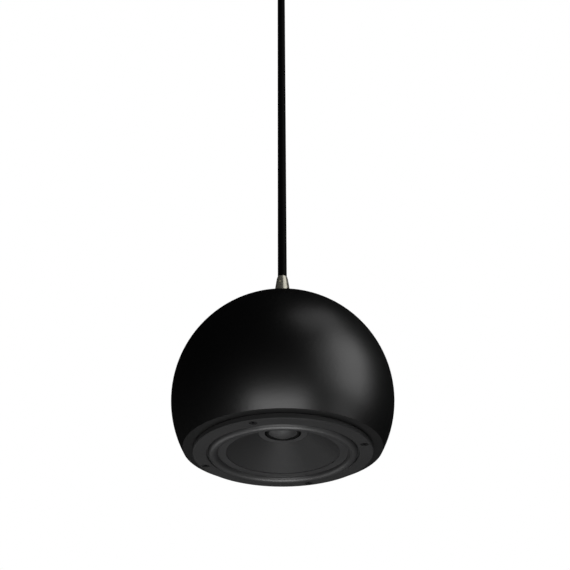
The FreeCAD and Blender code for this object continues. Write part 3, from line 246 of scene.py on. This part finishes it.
def turned_sheet(line, thickness, steps=192):
    """A closed ring of thin sheet, turned from the middle line of its section, which runs inwards."""
    runs = [(Vector(end) - Vector(start)).normalized() for start, end in zip(line, line[1:])]
    lower, upper = [], []
    for point, before, after in zip(line, [runs[0], *runs], [*runs, runs[-1]]):
        along = (before + after).normalized()
        across = Vector((-along.y, along.x)) * (thickness / 2)
        lower.append(Vector(point) + across)
        upper.insert(0, Vector(point) - across)
    section = lower + upper
    points, faces = [], []
    for step in range(steps):
        around = math.tau * step / steps
        points += [(p.x * math.cos(around), p.x * math.sin(around), p.y) for p in section]
        first, second = step * len(section), (step + 1) % steps * len(section)
        for index in range(len(section)):
            after = (index + 1) % len(section)
            faces.append((first + index, first + after, second + after, second + index))
    mesh = bpy.data.meshes.new("turned_sheet")
    mesh.from_pydata(points, [], faces)
    mesh.shade_smooth()
    mesh.set_sharp_from_angle(angle=math.radians(40))
    return mesh


def flexible_ring(name, node, finish, mesh, fixed_radius, moving_radius):
    """A ring that is fixed at one radius, moves with the cone at a smaller one and bends between them."""
    mesh.materials.append(finish.material)
    ring = put_in_scene(name, mesh)
    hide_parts(node)
    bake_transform(ring, "speaker", "cone_assembly", start=(fixed_radius, 0.0, 0.0), end=(moving_radius, 0.0, 0.0))
    # The blend's weight runs straight along X. A ring bends alike all round, so its weight goes by radius.
    weights = []
    for vertex in mesh.vertices:
        share = (fixed_radius - vertex.co.xy.length) / (fixed_radius - moving_radius)
        share = min(max(share, 0.0), 1.0)
        weights.append(share * share * (3.0 - 2.0 * share))
    mesh.attributes["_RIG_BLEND"].data.foreach_set("value", weights)


def arc(centre, height, radius, start, turn, steps):
    """Points of (radius, height) on a bow of the section, from one angle and on by a turn, in degrees."""
    bends = [math.radians(start + turn * step / steps) for step in range(steps + 1)]
    return [(centre + radius * math.cos(bend), height + radius * math.sin(bend)) for bend in bends]


RIM_LEVEL = -0.7214966
OUTER_EDGE, OUTER_LAND, INNER_LAND, INNER_EDGE = 0.073204, 0.0712, 0.056, 0.052004
LAND_DEPTH, ROLL_DEPTH = 0.0025, 0.0028
ROLL_CENTRE, ROLL_RADIUS, FOOT_FILLET = 0.064004, 0.0042, 0.0005
RUBBER_THICKNESS = 0.0006
ROLL_STEPS, FILLET_STEPS = 28, 4
land_height = RIM_LEVEL - LAND_DEPTH
foot_reach = ROLL_RADIUS + FOOT_FILLET
foot_height = land_height - FOOT_FILLET
surround_line = [
    (OUTER_EDGE, land_height), (OUTER_LAND, land_height),
    *arc(ROLL_CENTRE + foot_reach, foot_height, FOOT_FILLET, 90.0, 90.0, FILLET_STEPS),
    *arc(ROLL_CENTRE, RIM_LEVEL - ROLL_DEPTH, ROLL_RADIUS, 0.0, -180.0, ROLL_STEPS)[1:-1],
    *arc(ROLL_CENTRE - foot_reach, foot_height, FOOT_FILLET, 0.0, 90.0, FILLET_STEPS),
    (INNER_LAND, land_height), (INNER_EDGE, land_height)]
flexible_ring("rubber_surround", "woofer_surround", rubber,
              turned_sheet(surround_line, RUBBER_THICKNESS), fixed_radius=0.0685, moving_radius=0.0595)


# Woofer cone: pressed fibre cone, dark grey and satin, with a flat rim glued behind the surround's lip.
# Fine radial fibres show when light grazes it.
cone_grey = Finish("cone_grey", specular_ior_level=0.13)
x, y, _ = cone_grey.place.parts()
angle = x.maths("ARCTAN2", y, x)
radius = x.maths("SQRT", x * x + y * y)
rays = x.node("ShaderNodeCombineXYZ", {}, {"X": angle * 60.0, "Y": radius * 90.0})
fibres = rays.noise(1.0, 4.0, 0.6)
cloud = cone_grey.place.noise(25.0, 3.0)
cone_shade = (fibres * 0.35 + cloud * 0.3 + 0.5).tint((0.017, 0.017, 0.0173), (0.023, 0.023, 0.0234))
cone_grey.put(base_color=cone_shade, roughness=0.5 + fibres * 0.05, normal=fibres.bump(0.00003))
cone_grey.on("woofer_cone")


# Collar: a moulded stiffening ring in the middle of the cone, dark grey and satin.
# It is glued over the joint of the cone and the coil's former.
centre_grey = Finish("centre_grey", specular_ior_level=0.4)
sand = centre_grey.place.noise(1800.0, 2.0)
cloud = centre_grey.place.noise(40.0, 2.0)
centre_grey.put(base_color=cloud.shade((0.025, 0.025, 0.0255), (0.033, 0.033, 0.0335)),
                roughness=0.45 + cloud * 0.05, normal=sand.bump(0.00002))
centre_grey.on("cone_collar")


# Tweeter housing, its post and the coil's former: matt black, dark enough to paint the shade in the slot round the
# tweeter as a dark ring.
# The moulded housing and post stand on the pole's end, and the former is a thin tube in the cone's neck.
slot_shade_black = Finish("slot_shade_black", specular_ior_level=0.06)
sand = slot_shade_black.place.noise(1800.0, 2.0)
# Painted shade: this near-black colour makes the slot between dome and collar read as a dark ring of shade.
slot_shade_black.put(base_color=sand.shade((0.003, 0.003, 0.003), (0.006, 0.006, 0.006)),
               roughness=0.65 + sand * 0.05, normal=sand.bump(0.00002))
slot_shade_black.on("tweeter_housing", "tweeter_post", "voice_coil_former")


# Tweeter dome: thin coated cloth with its own flat edge, glued on a ledge of the housing.
# A fine weave lies under its soft sheen.
dome_grey = Finish("dome_grey", specular_ior_level=0.35)
weave = dome_grey.place.weave(9000.0)
cloud = dome_grey.place.noise(120.0, 2.0)
dome_shade = (weave * 0.2 + cloud * 0.3 + 0.5).tint((0.024, 0.024, 0.0245), (0.034, 0.034, 0.0345))
dome_grey.put(base_color=dome_shade, roughness=0.5 + cloud * 0.05, normal=weave.bump(0.00002))
dome_grey.on("tweeter_dome")


# Cord grips: turned metal cones with a satin champagne plating and faint turning marks round them. One stands
# on the ball, one hangs under the ceiling cup, and a grub screw of the same finish sits flush in each.
champagne = Finish("champagne", metallic=0.85)
x, y, z = champagne.place.parts()
squeezed = x.node("ShaderNodeCombineXYZ", {}, {"X": z * 2500.0, "Y": x * 30.0, "Z": y * 30.0})
rings = squeezed.noise(1.0, 2.0)
cloud = champagne.place.noise(90.0, 3.0)
champagne.put(base_color=cloud.shade((0.88, 0.84, 0.68), (0.95, 0.92, 0.80)),
              roughness=0.22 + rings * 0.05, normal=rings.bump(0.000008))
champagne.on("cord_grip", "rose_cord_grip", "cord_grip_screw", "rose_grip_screw")


# Ceiling cup: spun steel cup with the ball's satin black. It covers what is fixed to the ceiling, and a screw
# in each side holds it to the strap's ears.
ball_black.on("ceiling_canopy")


# Plated steel: zinc on the ceiling strap, on the washers, locknuts and clamp rings of both hangers, on the
# plates and the small magnet that are glued into the driver, and on the board's screws.
zinc = Finish("zinc", metallic=1.0)
spangle = zinc.place.node("ShaderNodeTexVoronoi", {}, {"Vector": zinc.place, "Scale": 420.0})
cloud = zinc.place.noise(60.0, 4.0)
zinc.put(base_color=(spangle * 0.4 + cloud * 0.2 + 0.3).tint((0.48, 0.49, 0.50), (0.62, 0.62, 0.61)),
         roughness=0.34 + cloud * 0.08, normal=cloud.bump(0.00002))
zinc.on("ceiling_bracket", "rose_washer", "rose_locknut", "rose_cord_stop", "rose_stop_screw",
        "hanger_washer", "hanger_locknut", "cord_stop", "cord_stop_screw",
        "top_plate", "back_plate", "tweeter_plate", "tweeter_magnet", "board_screws")


# Brass: four threaded sleeves pressed into the baffle ring, and two flat tabs riveted to the terminal strip.
# Both are slightly tarnished.
brass = Finish("brass", metallic=1.0)
cloud = brass.place.noise(180.0, 4.0)
brass.put(base_color=cloud.shade((0.52, 0.37, 0.16), (0.72, 0.56, 0.28)),
          roughness=0.34 + cloud * 0.1, normal=cloud.bump(0.00002))
brass.on("threaded_inserts", "terminal_tabs")


# Windings: enamelled copper wire in close turns, in two layers on the cone's former and in two on the
# inductor's spool.
class Maker:
    """A Geometry Nodes tree with named number inputs. It turns a curve or an empty mesh into a plain mesh."""

    def __init__(self, name, *inputs):
        self.tree = bpy.data.node_groups.new(name, "GeometryNodeTree")
        face = self.tree.interface
        face.new_socket("Geometry", in_out="OUTPUT", socket_type="NodeSocketGeometry")
        self.sockets = {"Geometry": face.new_socket("Geometry", socket_type="NodeSocketGeometry")}
        for key in inputs:
            self.sockets[key] = face.new_socket(key, socket_type="NodeSocketFloat")
        self.sockets["Material"] = face.new_socket("Material", socket_type="NodeSocketMaterial")
        given = self.tree.nodes.new("NodeGroupInput")
        self.given = {key: Wire(self.tree, given.outputs[key]) for key in self.sockets}

    def give(self, *shapes):
        """Ends the tree: the shapes are joined, shaded smooth, made real and given the material."""
        join = self.tree.nodes.new("GeometryNodeJoinGeometry")
        for shape in shapes:
            self.tree.links.new(shape.socket, join.inputs[0])
        joined = Wire(self.tree, join.outputs[0])
        smooth = joined.node("GeometryNodeSetShadeSmooth", {}, {0: joined})
        real = smooth.node("GeometryNodeRealizeInstances", {}, {0: smooth})
        given = {"Geometry": real, "Material": self.given["Material"]}
        ended = real.node("GeometryNodeSetMaterial", {}, given)
        self.tree.links.new(ended.socket, self.tree.nodes.new("NodeGroupOutput").inputs[0])

    def make(self, name, source_data, finish, **numbers):
        """A mesh object made from a source object with this data, which is then removed."""
        source = put_in_scene("source", source_data)
        modifier = source.modifiers.new("maker", "NODES")
        modifier.node_group = self.tree
        modifier[self.sockets["Material"].identifier] = finish.material
        for key, number in numbers.items():
            modifier[self.sockets[key].identifier] = number
        shown = source.evaluated_get(bpy.context.evaluated_depsgraph_get())
        mesh = bpy.data.meshes.new_from_object(shown)
        mesh.materials.clear()
        mesh.materials.append(finish.material)
        bpy.data.objects.remove(source)
        return put_in_scene(name, mesh)


def round_wire(line, radius):
    """A wire with eight sides and closed ends, along a line of the tree."""
    section = line.node("GeometryNodeCurvePrimitiveCircle", {}, {"Resolution": 8, "Radius": radius})
    inputs = {"Curve": line, "Profile Curve": section, "Fill Caps": True}
    return line.node("GeometryNodeCurveToMesh", {}, inputs)


copper = Finish("copper", metallic=0.9)
cloud = copper.place.noise(400.0, 3.0)
copper.put(base_color=cloud.shade((0.42, 0.14, 0.055), (0.62, 0.26, 0.12)),
           roughness=0.3 + cloud * 0.06, normal=cloud.bump(0.00001))
winder = Maker("winding", "Radius", "Wire", "Turns", "Length")
wire_radius = winder.given["Wire"]
layers = []
for layer in range(2):
    layer_radius = winder.given["Radius"] - wire_radius * (2.0 * layer + 1.0)
    coil = wire_radius.node("GeometryNodeCurveSpiral", {}, {
        "Resolution": 48, "Rotations": winder.given["Turns"], "Start Radius": layer_radius,
        "End Radius": layer_radius, "Height": winder.given["Length"] - wire_radius * 2.0})
    layers.append(round_wire(coil, wire_radius))
winder.give(*layers)
for name, node, body, x, radius, wire, turns in (
        ("coil_winding", "voice_coil", "cone_assembly", 0.0, 0.0175, 0.000172, 34.0),
        ("inductor_turns", "inductor_winding", "speaker", -0.014, 0.011, 0.00045, 10.0)):
    low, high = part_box(node)
    winding = winder.make(name, bpy.data.meshes.new("empty"), copper,
                          Radius=radius, Wire=wire, Turns=turns, Length=high[2] - low[2])
    winding.data.transform(Matrix.Translation((x, 0.0, low[2] + wire)))
    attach(winding, body)
    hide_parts(node)


# Tinsel leads: three soft strands braided round each other, from the tabs through the basket's windows to
# the cone. They bend with the cone: the upper end stays on the tabs and the lower end moves.
braid_copper = Finish("braid_copper", metallic=0.9)
cloud = braid_copper.place.noise(1500.0, 3.0)
braid_copper.put(base_color=cloud.shade((0.44, 0.20, 0.10), (0.70, 0.38, 0.22)),
                 roughness=0.42 + cloud * 0.08, normal=cloud.bump(0.00002))
BRAID_STEP = 0.0003
braider = Maker("braid", "Strand", "Reach", "Pitch")
drawn = braider.given["Geometry"]
route = drawn.node("GeometryNodeResampleCurve", {"mode": "LENGTH"}, {"Curve": drawn, "Length": BRAID_STEP})
along = route.node("GeometryNodeInputTangent")
across = route.node("GeometryNodeInputNormal")
beside = route.node("ShaderNodeVectorMath", {"operation": "CROSS_PRODUCT"}, {0: along, 1: across})
distance = route.node("GeometryNodeSplineParameter", output=1)
strands = []
for strand in range(3):
    angle = distance / braider.given["Pitch"] * math.tau + math.tau * strand / 3
    shift = [route.node("ShaderNodeVectorMath", {"operation": "SCALE"},
                        {0: side, "Scale": angle.maths(wave, angle) * braider.given["Reach"]})
             for side, wave in ((across, "COSINE"), (beside, "SINE"))]
    offset = route.node("ShaderNodeVectorMath", {"operation": "ADD"}, {0: shift[0], 1: shift[1]})
    strand_line = route.node("GeometryNodeSetPosition", {}, {"Geometry": route, "Offset": offset})
    strands.append(round_wire(strand_line, braider.given["Strand"]))
braider.give(*strands)
BRAID_ROUTE = ((0.0469, 0.0096, -0.6886), (0.0469, 0.0096, -0.692), (0.05626, 0.01828, -0.70051),
               (0.05039, 0.01637, -0.70705), (0.03963, 0.00915, -0.70482), (0.03516, 0.00812, -0.71126))
braid_line = bpy.data.curves.new("braid_line", "CURVE")
braid_line.dimensions = "3D"
for side in (-1, 1):
    spline = braid_line.splines.new("NURBS")
    spline.points.add(len(BRAID_ROUTE) - 1)
    for point, (x, y, z) in zip(spline.points, BRAID_ROUTE):
        point.co = (x, side * y, z, 1.0)
    spline.order_u = 3
    spline.use_endpoint_u = True
    spline.resolution_u = 24
braids = braider.make("tinsel_braids", braid_line, braid_copper, Strand=0.00028, Reach=0.00031, Pitch=0.0032)
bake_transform(braids, "speaker", "cone_assembly", start=(0.045, 0.0, -0.692), end=(0.045, 0.0, -0.709))
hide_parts("tinsel_leads")


# Spider: cotton cloth dipped in resin and pressed into waves, with its weave still showing. It is glued to
# the frame's shelf and to the former, keeps the coil in the middle and bends as the cone moves.
cloth = Finish("cloth")
weave = cloth.place.weave(5200.0)
cloud = cloth.place.noise(70.0, 3.0)
cloth.put(base_color=(weave * 0.3 + cloud * 0.2 + 0.5).tint((0.34, 0.20, 0.07), (0.56, 0.38, 0.16)),
          roughness=0.8 + weave * 0.05, normal=weave.bump(0.0001))
SHELF_EDGE, SHELF_LAND, FORMER_EDGE, SPIDER_RISE = 0.0408, 0.0379, 0.01685, 0.030
WAVE_START, WAVE_RADIUS, WAVE_COUNT, WAVE_STEPS = 0.0184, 0.0016, 6, 10
CLOTH_THICKNESS, CLOTH_STEPS = 0.0004, 128
spider_height = RIM_LEVEL + SPIDER_RISE
spider_line = [(SHELF_EDGE, spider_height), (SHELF_LAND, spider_height)]
for wave in reversed(range(WAVE_COUNT)):
    centre = WAVE_START + (2 * wave + 1) * WAVE_RADIUS
    turn = 180.0 if wave % 2 == 0 else -180.0
    wave_line = arc(centre, spider_height, WAVE_RADIUS, 0.0, turn, WAVE_STEPS)
    spider_line += wave_line if wave == WAVE_COUNT - 1 else wave_line[1:]
spider_line.append((FORMER_EDGE, spider_height))
flexible_ring("cloth_spider", "spider", cloth,
              turned_sheet(spider_line, CLOTH_THICKNESS, CLOTH_STEPS), fixed_radius=0.0376, moving_radius=0.0184)


# Ring magnet: sintered ferrite, dark and slightly chalky.
# It is glued between the driver's two steel plates.
ferrite = Finish("ferrite", specular_ior_level=0.4)
speck = ferrite.place.noise(900.0, 4.0)
ferrite.put(base_color=speck.shade((0.035, 0.035, 0.038), (0.065, 0.065, 0.07)),
            roughness=0.6 + speck * 0.1, normal=speck.bump(0.00005))
ferrite.on("ring_magnet")


# Baffle ring: wood-fibre board, turned to the inside of the ball and glued behind its flat rim.
# Its cut faces show short fibres.
fibreboard = Finish("fibreboard")
speck = fibreboard.place.noise(700.0, 5.0, 0.65)
cloud = fibreboard.place.noise(40.0, 2.0)
fibreboard.put(base_color=(speck * 0.5 + cloud * 0.2 + 0.5).tint((0.22, 0.15, 0.09), (0.38, 0.28, 0.18)),
               roughness=0.8 + speck * 0.05, normal=speck.bump(0.00012))
fibreboard.on("baffle_ring")


# Frame gasket: a soft black ring of closed-cell foam between the ball's rim and the driver's flange.
# Its cut cells show.
foam = Finish("foam")
cells = foam.place.node("ShaderNodeTexVoronoi", {}, {"Vector": foam.place, "Scale": 1400.0})
foam.put(base_color=cells.tint((0.02, 0.02, 0.02), (0.045, 0.045, 0.045)),
         roughness=0.85 + cells * 0.1, normal=cells.bump(0.0001))
foam.on("frame_gasket")


# Felt lining: needled grey fibres in a thick layer on the upper half of the ball, open in the middle for the
# hanger. Its inner side is lumpy, as it leaves the needling machine.
felt = Finish("felt")
fluff = felt.place.noise(320.0, 6.0, 0.7)
felt.put(base_color=fluff.shade((0.18, 0.18, 0.19), (0.42, 0.42, 0.43)),
         roughness=0.93 + fluff * 0.05, normal=fluff.bump(0.0008))


def direction(around, above):
    """A unit vector at one angle round the upright axis and another above the level."""
    return Vector((math.cos(around) * math.cos(above), math.sin(around) * math.cos(above), math.sin(above)))


BALL_CENTRE = Vector((0.0, 0.0, -0.67))
LINING_RADIUS, LINING_THICKNESS, LINING_LOW, LINING_HOLE = 0.1015, 0.0135, 0.006, 0.0271
LUMP_HEIGHT = 0.0015
LINING_ROWS, LINING_COLUMNS = 40, 144
low_angle = math.asin(LINING_LOW / LINING_RADIUS)
high_angle = math.acos(LINING_HOLE / (LINING_RADIUS - LINING_THICKNESS))
round_points = 2 * LINING_ROWS + 2
lining_points, lining_faces = [], []
for column in range(LINING_COLUMNS):
    first = column * round_points
    second = (column + 1) % LINING_COLUMNS * round_points
    for row in range(round_points):
        inside = row > LINING_ROWS
        share = (round_points - 1 - row if inside else row) / LINING_ROWS
        outward = direction(math.tau * column / LINING_COLUMNS, low_angle + (high_angle - low_angle) * share)
        reach = LINING_RADIUS
        if inside:
            lumps = noise.fractal(outward * 5.0, 0.7, 2.1, 4) * 0.5 + noise.noise(outward * 40.0) * 0.15
            reach -= LINING_THICKNESS - LUMP_HEIGHT * (1.0 + max(-1.0, min(1.0, lumps)))
        lining_points.append(outward * reach + BALL_CENTRE)
        after = (row + 1) % round_points
        lining_faces.append((first + row, second + row, second + after, first + after))
lining_mesh = bpy.data.meshes.new("felt_lining")
lining_mesh.from_pydata(lining_points, [], lining_faces)
lining_mesh.shade_smooth()
lining_mesh.set_sharp_from_angle(angle=math.radians(60))
lining_mesh.materials.append(felt.material)
lining = put_in_scene("felt_lining", lining_mesh)
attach(lining, "speaker")
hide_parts("damping_lining")


# Circuit board and terminal strip: laminate with a green solder mask, screwed on three standoffs behind the
# magnet, and a strip of brown phenolic board upright on the basket's neck.
laminate = Finish("laminate", specular_ior_level=0.5)
mask = laminate.place.noise(120.0, 3.0)
laminate.put(base_color=mask.shade((0.012, 0.08, 0.03), (0.03, 0.15, 0.06)),
             roughness=0.35 + mask * 0.06, normal=mask.bump(0.00003))
laminate.on("crossover_board")
phenolic = Finish("phenolic", specular_ior_level=0.4)
paper = phenolic.place.noise(400.0, 4.0)
phenolic.put(base_color=paper.shade((0.20, 0.10, 0.035), (0.34, 0.18, 0.07)),
             roughness=0.5 + paper * 0.08, normal=paper.bump(0.00004))
phenolic.on("terminal_strip")


# Small parts: a sleeved capacitor, a ceramic resistor, a spool and a terminal block, soldered on the board.
# Block and spool are moulded nylon, like the board's standoffs and the ceiling's terminal block.
sleeve = Finish("sleeve", specular_ior_level=0.5)
cloud = sleeve.place.noise(80.0, 3.0)
sleeve.put(base_color=cloud.shade((0.01, 0.014, 0.05), (0.025, 0.035, 0.10)),
           roughness=0.3 + cloud * 0.05, normal=cloud.bump(0.00005))
sleeve.on("crossover_capacitor")
ceramic = Finish("ceramic", specular_ior_level=0.4)
speck = ceramic.place.noise(600.0, 4.0)
ceramic.put(base_color=speck.shade((0.52, 0.51, 0.47), (0.70, 0.69, 0.65)),
            roughness=0.7 + speck * 0.08, normal=speck.bump(0.00006))
ceramic.on("crossover_resistor")
nylon = Finish("nylon", specular_ior_level=0.45)
cloud = nylon.place.noise(150.0, 3.0)
nylon.put(base_color=cloud.shade((0.58, 0.57, 0.52), (0.72, 0.71, 0.66)),
          roughness=0.45 + cloud * 0.06, normal=cloud.bump(0.00003))
nylon.on("board_standoffs", "board_terminal_block", "rose_terminal_block", "crossover_inductor")


# Leads: wires with soft black insulation, from the cord to the board and to the ceiling's terminal block, and
# from the board to the tabs and the tweeter.
core_black = Finish("core_black", specular_ior_level=0.4)
cloud = core_black.place.noise(300.0, 3.0)
core_black.put(base_color=cloud.shade((0.02, 0.02, 0.021), (0.05, 0.05, 0.052)),
               roughness=0.45 + cloud * 0.08, normal=cloud.bump(0.00003))
core_black.on("input_leads", "woofer_leads", "tweeter_leads", "rose_leads")


# Floor: a wide pale surface at room height below the hanging part, which takes its shadow. For the camera it
# also glows, so it stays nearly as white as the ground of the picture.
def seen_directly(tree):
    """1 for rays of the camera, of a reflection and through glass, and 0 for rays of light."""
    camera_ray = Wire(tree).node("ShaderNodeLightPath", output="Is Camera Ray")
    outputs = camera_ray.socket.node.outputs
    glossy_ray, glass_ray = Wire(tree, outputs["Is Glossy Ray"]), Wire(tree, outputs["Is Transmission Ray"])
    return camera_ray.maths("MAXIMUM", camera_ray.maths("MAXIMUM", camera_ray, glossy_ray), glass_ray)


FLOOR_HEIGHT, FLOOR_REACH, GLOW_SHARE = -2.2, 25.0, 0.6
floor_mesh = bpy.data.meshes.new("floor")
floor_corners = ((-FLOOR_REACH, -FLOOR_REACH), (FLOOR_REACH, -FLOOR_REACH),
                 (FLOOR_REACH, FLOOR_REACH), (-FLOOR_REACH, FLOOR_REACH))
floor_mesh.from_pydata([(*corner, FLOOR_HEIGHT) for corner in floor_corners], [], [(0, 1, 2, 3)])
floor = put_in_scene("floor", floor_mesh)
pale = Finish("pale", roughness=0.9, specular_ior_level=0.1)
dust = pale.place.noise(3.0, 4.0)
pale.put(base_color=dust.shade((0.76, 0.76, 0.76), (0.80, 0.80, 0.80)))
glow = dust.node("ShaderNodeEmission", {}, {"Color": (1.0, 1.0, 1.0, 1.0), "Strength": 1.0})
surface = Wire(pale.tree, pale.shader.outputs[0])
glow_share = seen_directly(pale.tree) * GLOW_SHARE
mixed = glow.node("ShaderNodeMixShader", {}, {0: glow_share, 1: surface, 2: glow})
pale.tree.links.new(mixed.socket, pale.tree.nodes["Material Output"].inputs["Surface"])
floor_mesh.materials.append(pale.material)


# Studio light: a tall soft box on the right with a bright core, a low one in front for the glow over the rim,
# and one straight below for the driver's face. Small weak boxes round off the glow and light the back.
CAMERA_AZIMUTH = math.radians(19.15)
BOX_DISTANCE = 1.2


def softbox(name, azimuth, elevation, width, height, power):
    """A soft box that faces the ball. Azimuth is 0 on the camera's side of the ball and 90 on its right."""
    outward = direction(math.radians(azimuth - 90.0) + CAMERA_AZIMUTH, math.radians(elevation))
    lamp = bpy.data.lights.new(name, "AREA")
    lamp.shape = "RECTANGLE"
    lamp.size = width
    lamp.size_y = height
    lamp.energy = power
    box = put_in_scene(name, lamp)
    box.location = BALL_CENTRE + outward * BOX_DISTANCE
    box.rotation_euler = outward.to_track_quat("Z", "Y").to_euler()
    box.visible_camera = False


softbox("key_core", 67.0, 19.0, 0.7, 1.15, 3.3)
softbox("key_spread", 58.0, 15.0, 1.1, 0.9, 1.7)
softbox("key_edge", 86.0, 14.0, 0.35, 0.9, 0.4)
softbox("key_foot", 67.0, -21.0, 0.6, 0.35, 0.5)
softbox("key_head", 52.0, 58.0, 0.8, 0.5, 0.8)
softbox("low_front", -5.0, -34.0, 1.2, 0.56, 5.9)
softbox("below", 0.0, -88.0, 0.6, 0.6, 6.9)
softbox("low_behind", -130.0, -40.0, 0.6, 0.6, 1.3)


# Cards: black ones stand round a black object and over it, so that its edges stay dark on a white ground.
# A pale one lies below, for the reflection in the driver's face. Only reflections see them.
CARD_RADIUS, CARD_LOW, CARD_HIGH, CARD_STEPS = 2.4, -2.1, 1.2, 48
card_points, card_faces = [], []
for step in range(CARD_STEPS + 1):
    around = math.tau * step / CARD_STEPS
    edge = (CARD_RADIUS * math.cos(around), CARD_RADIUS * math.sin(around))
    card_points += [(0.0, 0.0, CARD_LOW), (*edge, CARD_LOW), (*edge, CARD_HIGH), (0.0, 0.0, CARD_HIGH)]
    if step < CARD_STEPS:
        first = 4 * step
        below = (first, first + 5, first + 1)
        beside = (first + 1, first + 5, first + 6, first + 2)
        over = (first + 2, first + 6, first + 3)
        card_faces += [below, beside, over]
card_mesh = bpy.data.meshes.new("black_cards")
card_mesh.from_pydata(card_points, [], card_faces)
card_mesh.polygons.foreach_set("material_index", [1, 0, 0] * CARD_STEPS)
cards = put_in_scene("black_cards", card_mesh)
for name, dark, light in (("card_black", 0.008, 0.012), ("card_pale", 0.74, 0.80)):
    card = Finish(name, roughness=0.9, specular_ior_level=0.0)
    card.put(base_color=card.place.noise(40.0, 3.0).shade((dark, dark, dark), (light, light, light)))
    card_mesh.materials.append(card.material)
cards.visible_camera = False
cards.visible_diffuse = False
cards.visible_shadow = False


# World: the white ground behind the part, as the camera sees it.
# As light it is only a weak even grey, which fills the shadows.
world = bpy.data.worlds.new("studio")
world.use_nodes = True
bpy.context.scene.world = world
seen = seen_directly(world.node_tree)
fill = seen.node("ShaderNodeBackground", {}, {"Color": (0.9, 0.9, 0.9, 1.0), "Strength": 0.25})
white = seen.node("ShaderNodeBackground", {}, {"Color": (1.0, 1.0, 1.0, 1.0), "Strength": 1.0})
mixed = seen.node("ShaderNodeMixShader", {}, {0: seen, 1: fill, 2: white})
world.node_tree.links.new(mixed.socket, world.node_tree.nodes["World Output"].inputs["Surface"])
bpy.context.scene.view_settings.view_transform = "Standard"
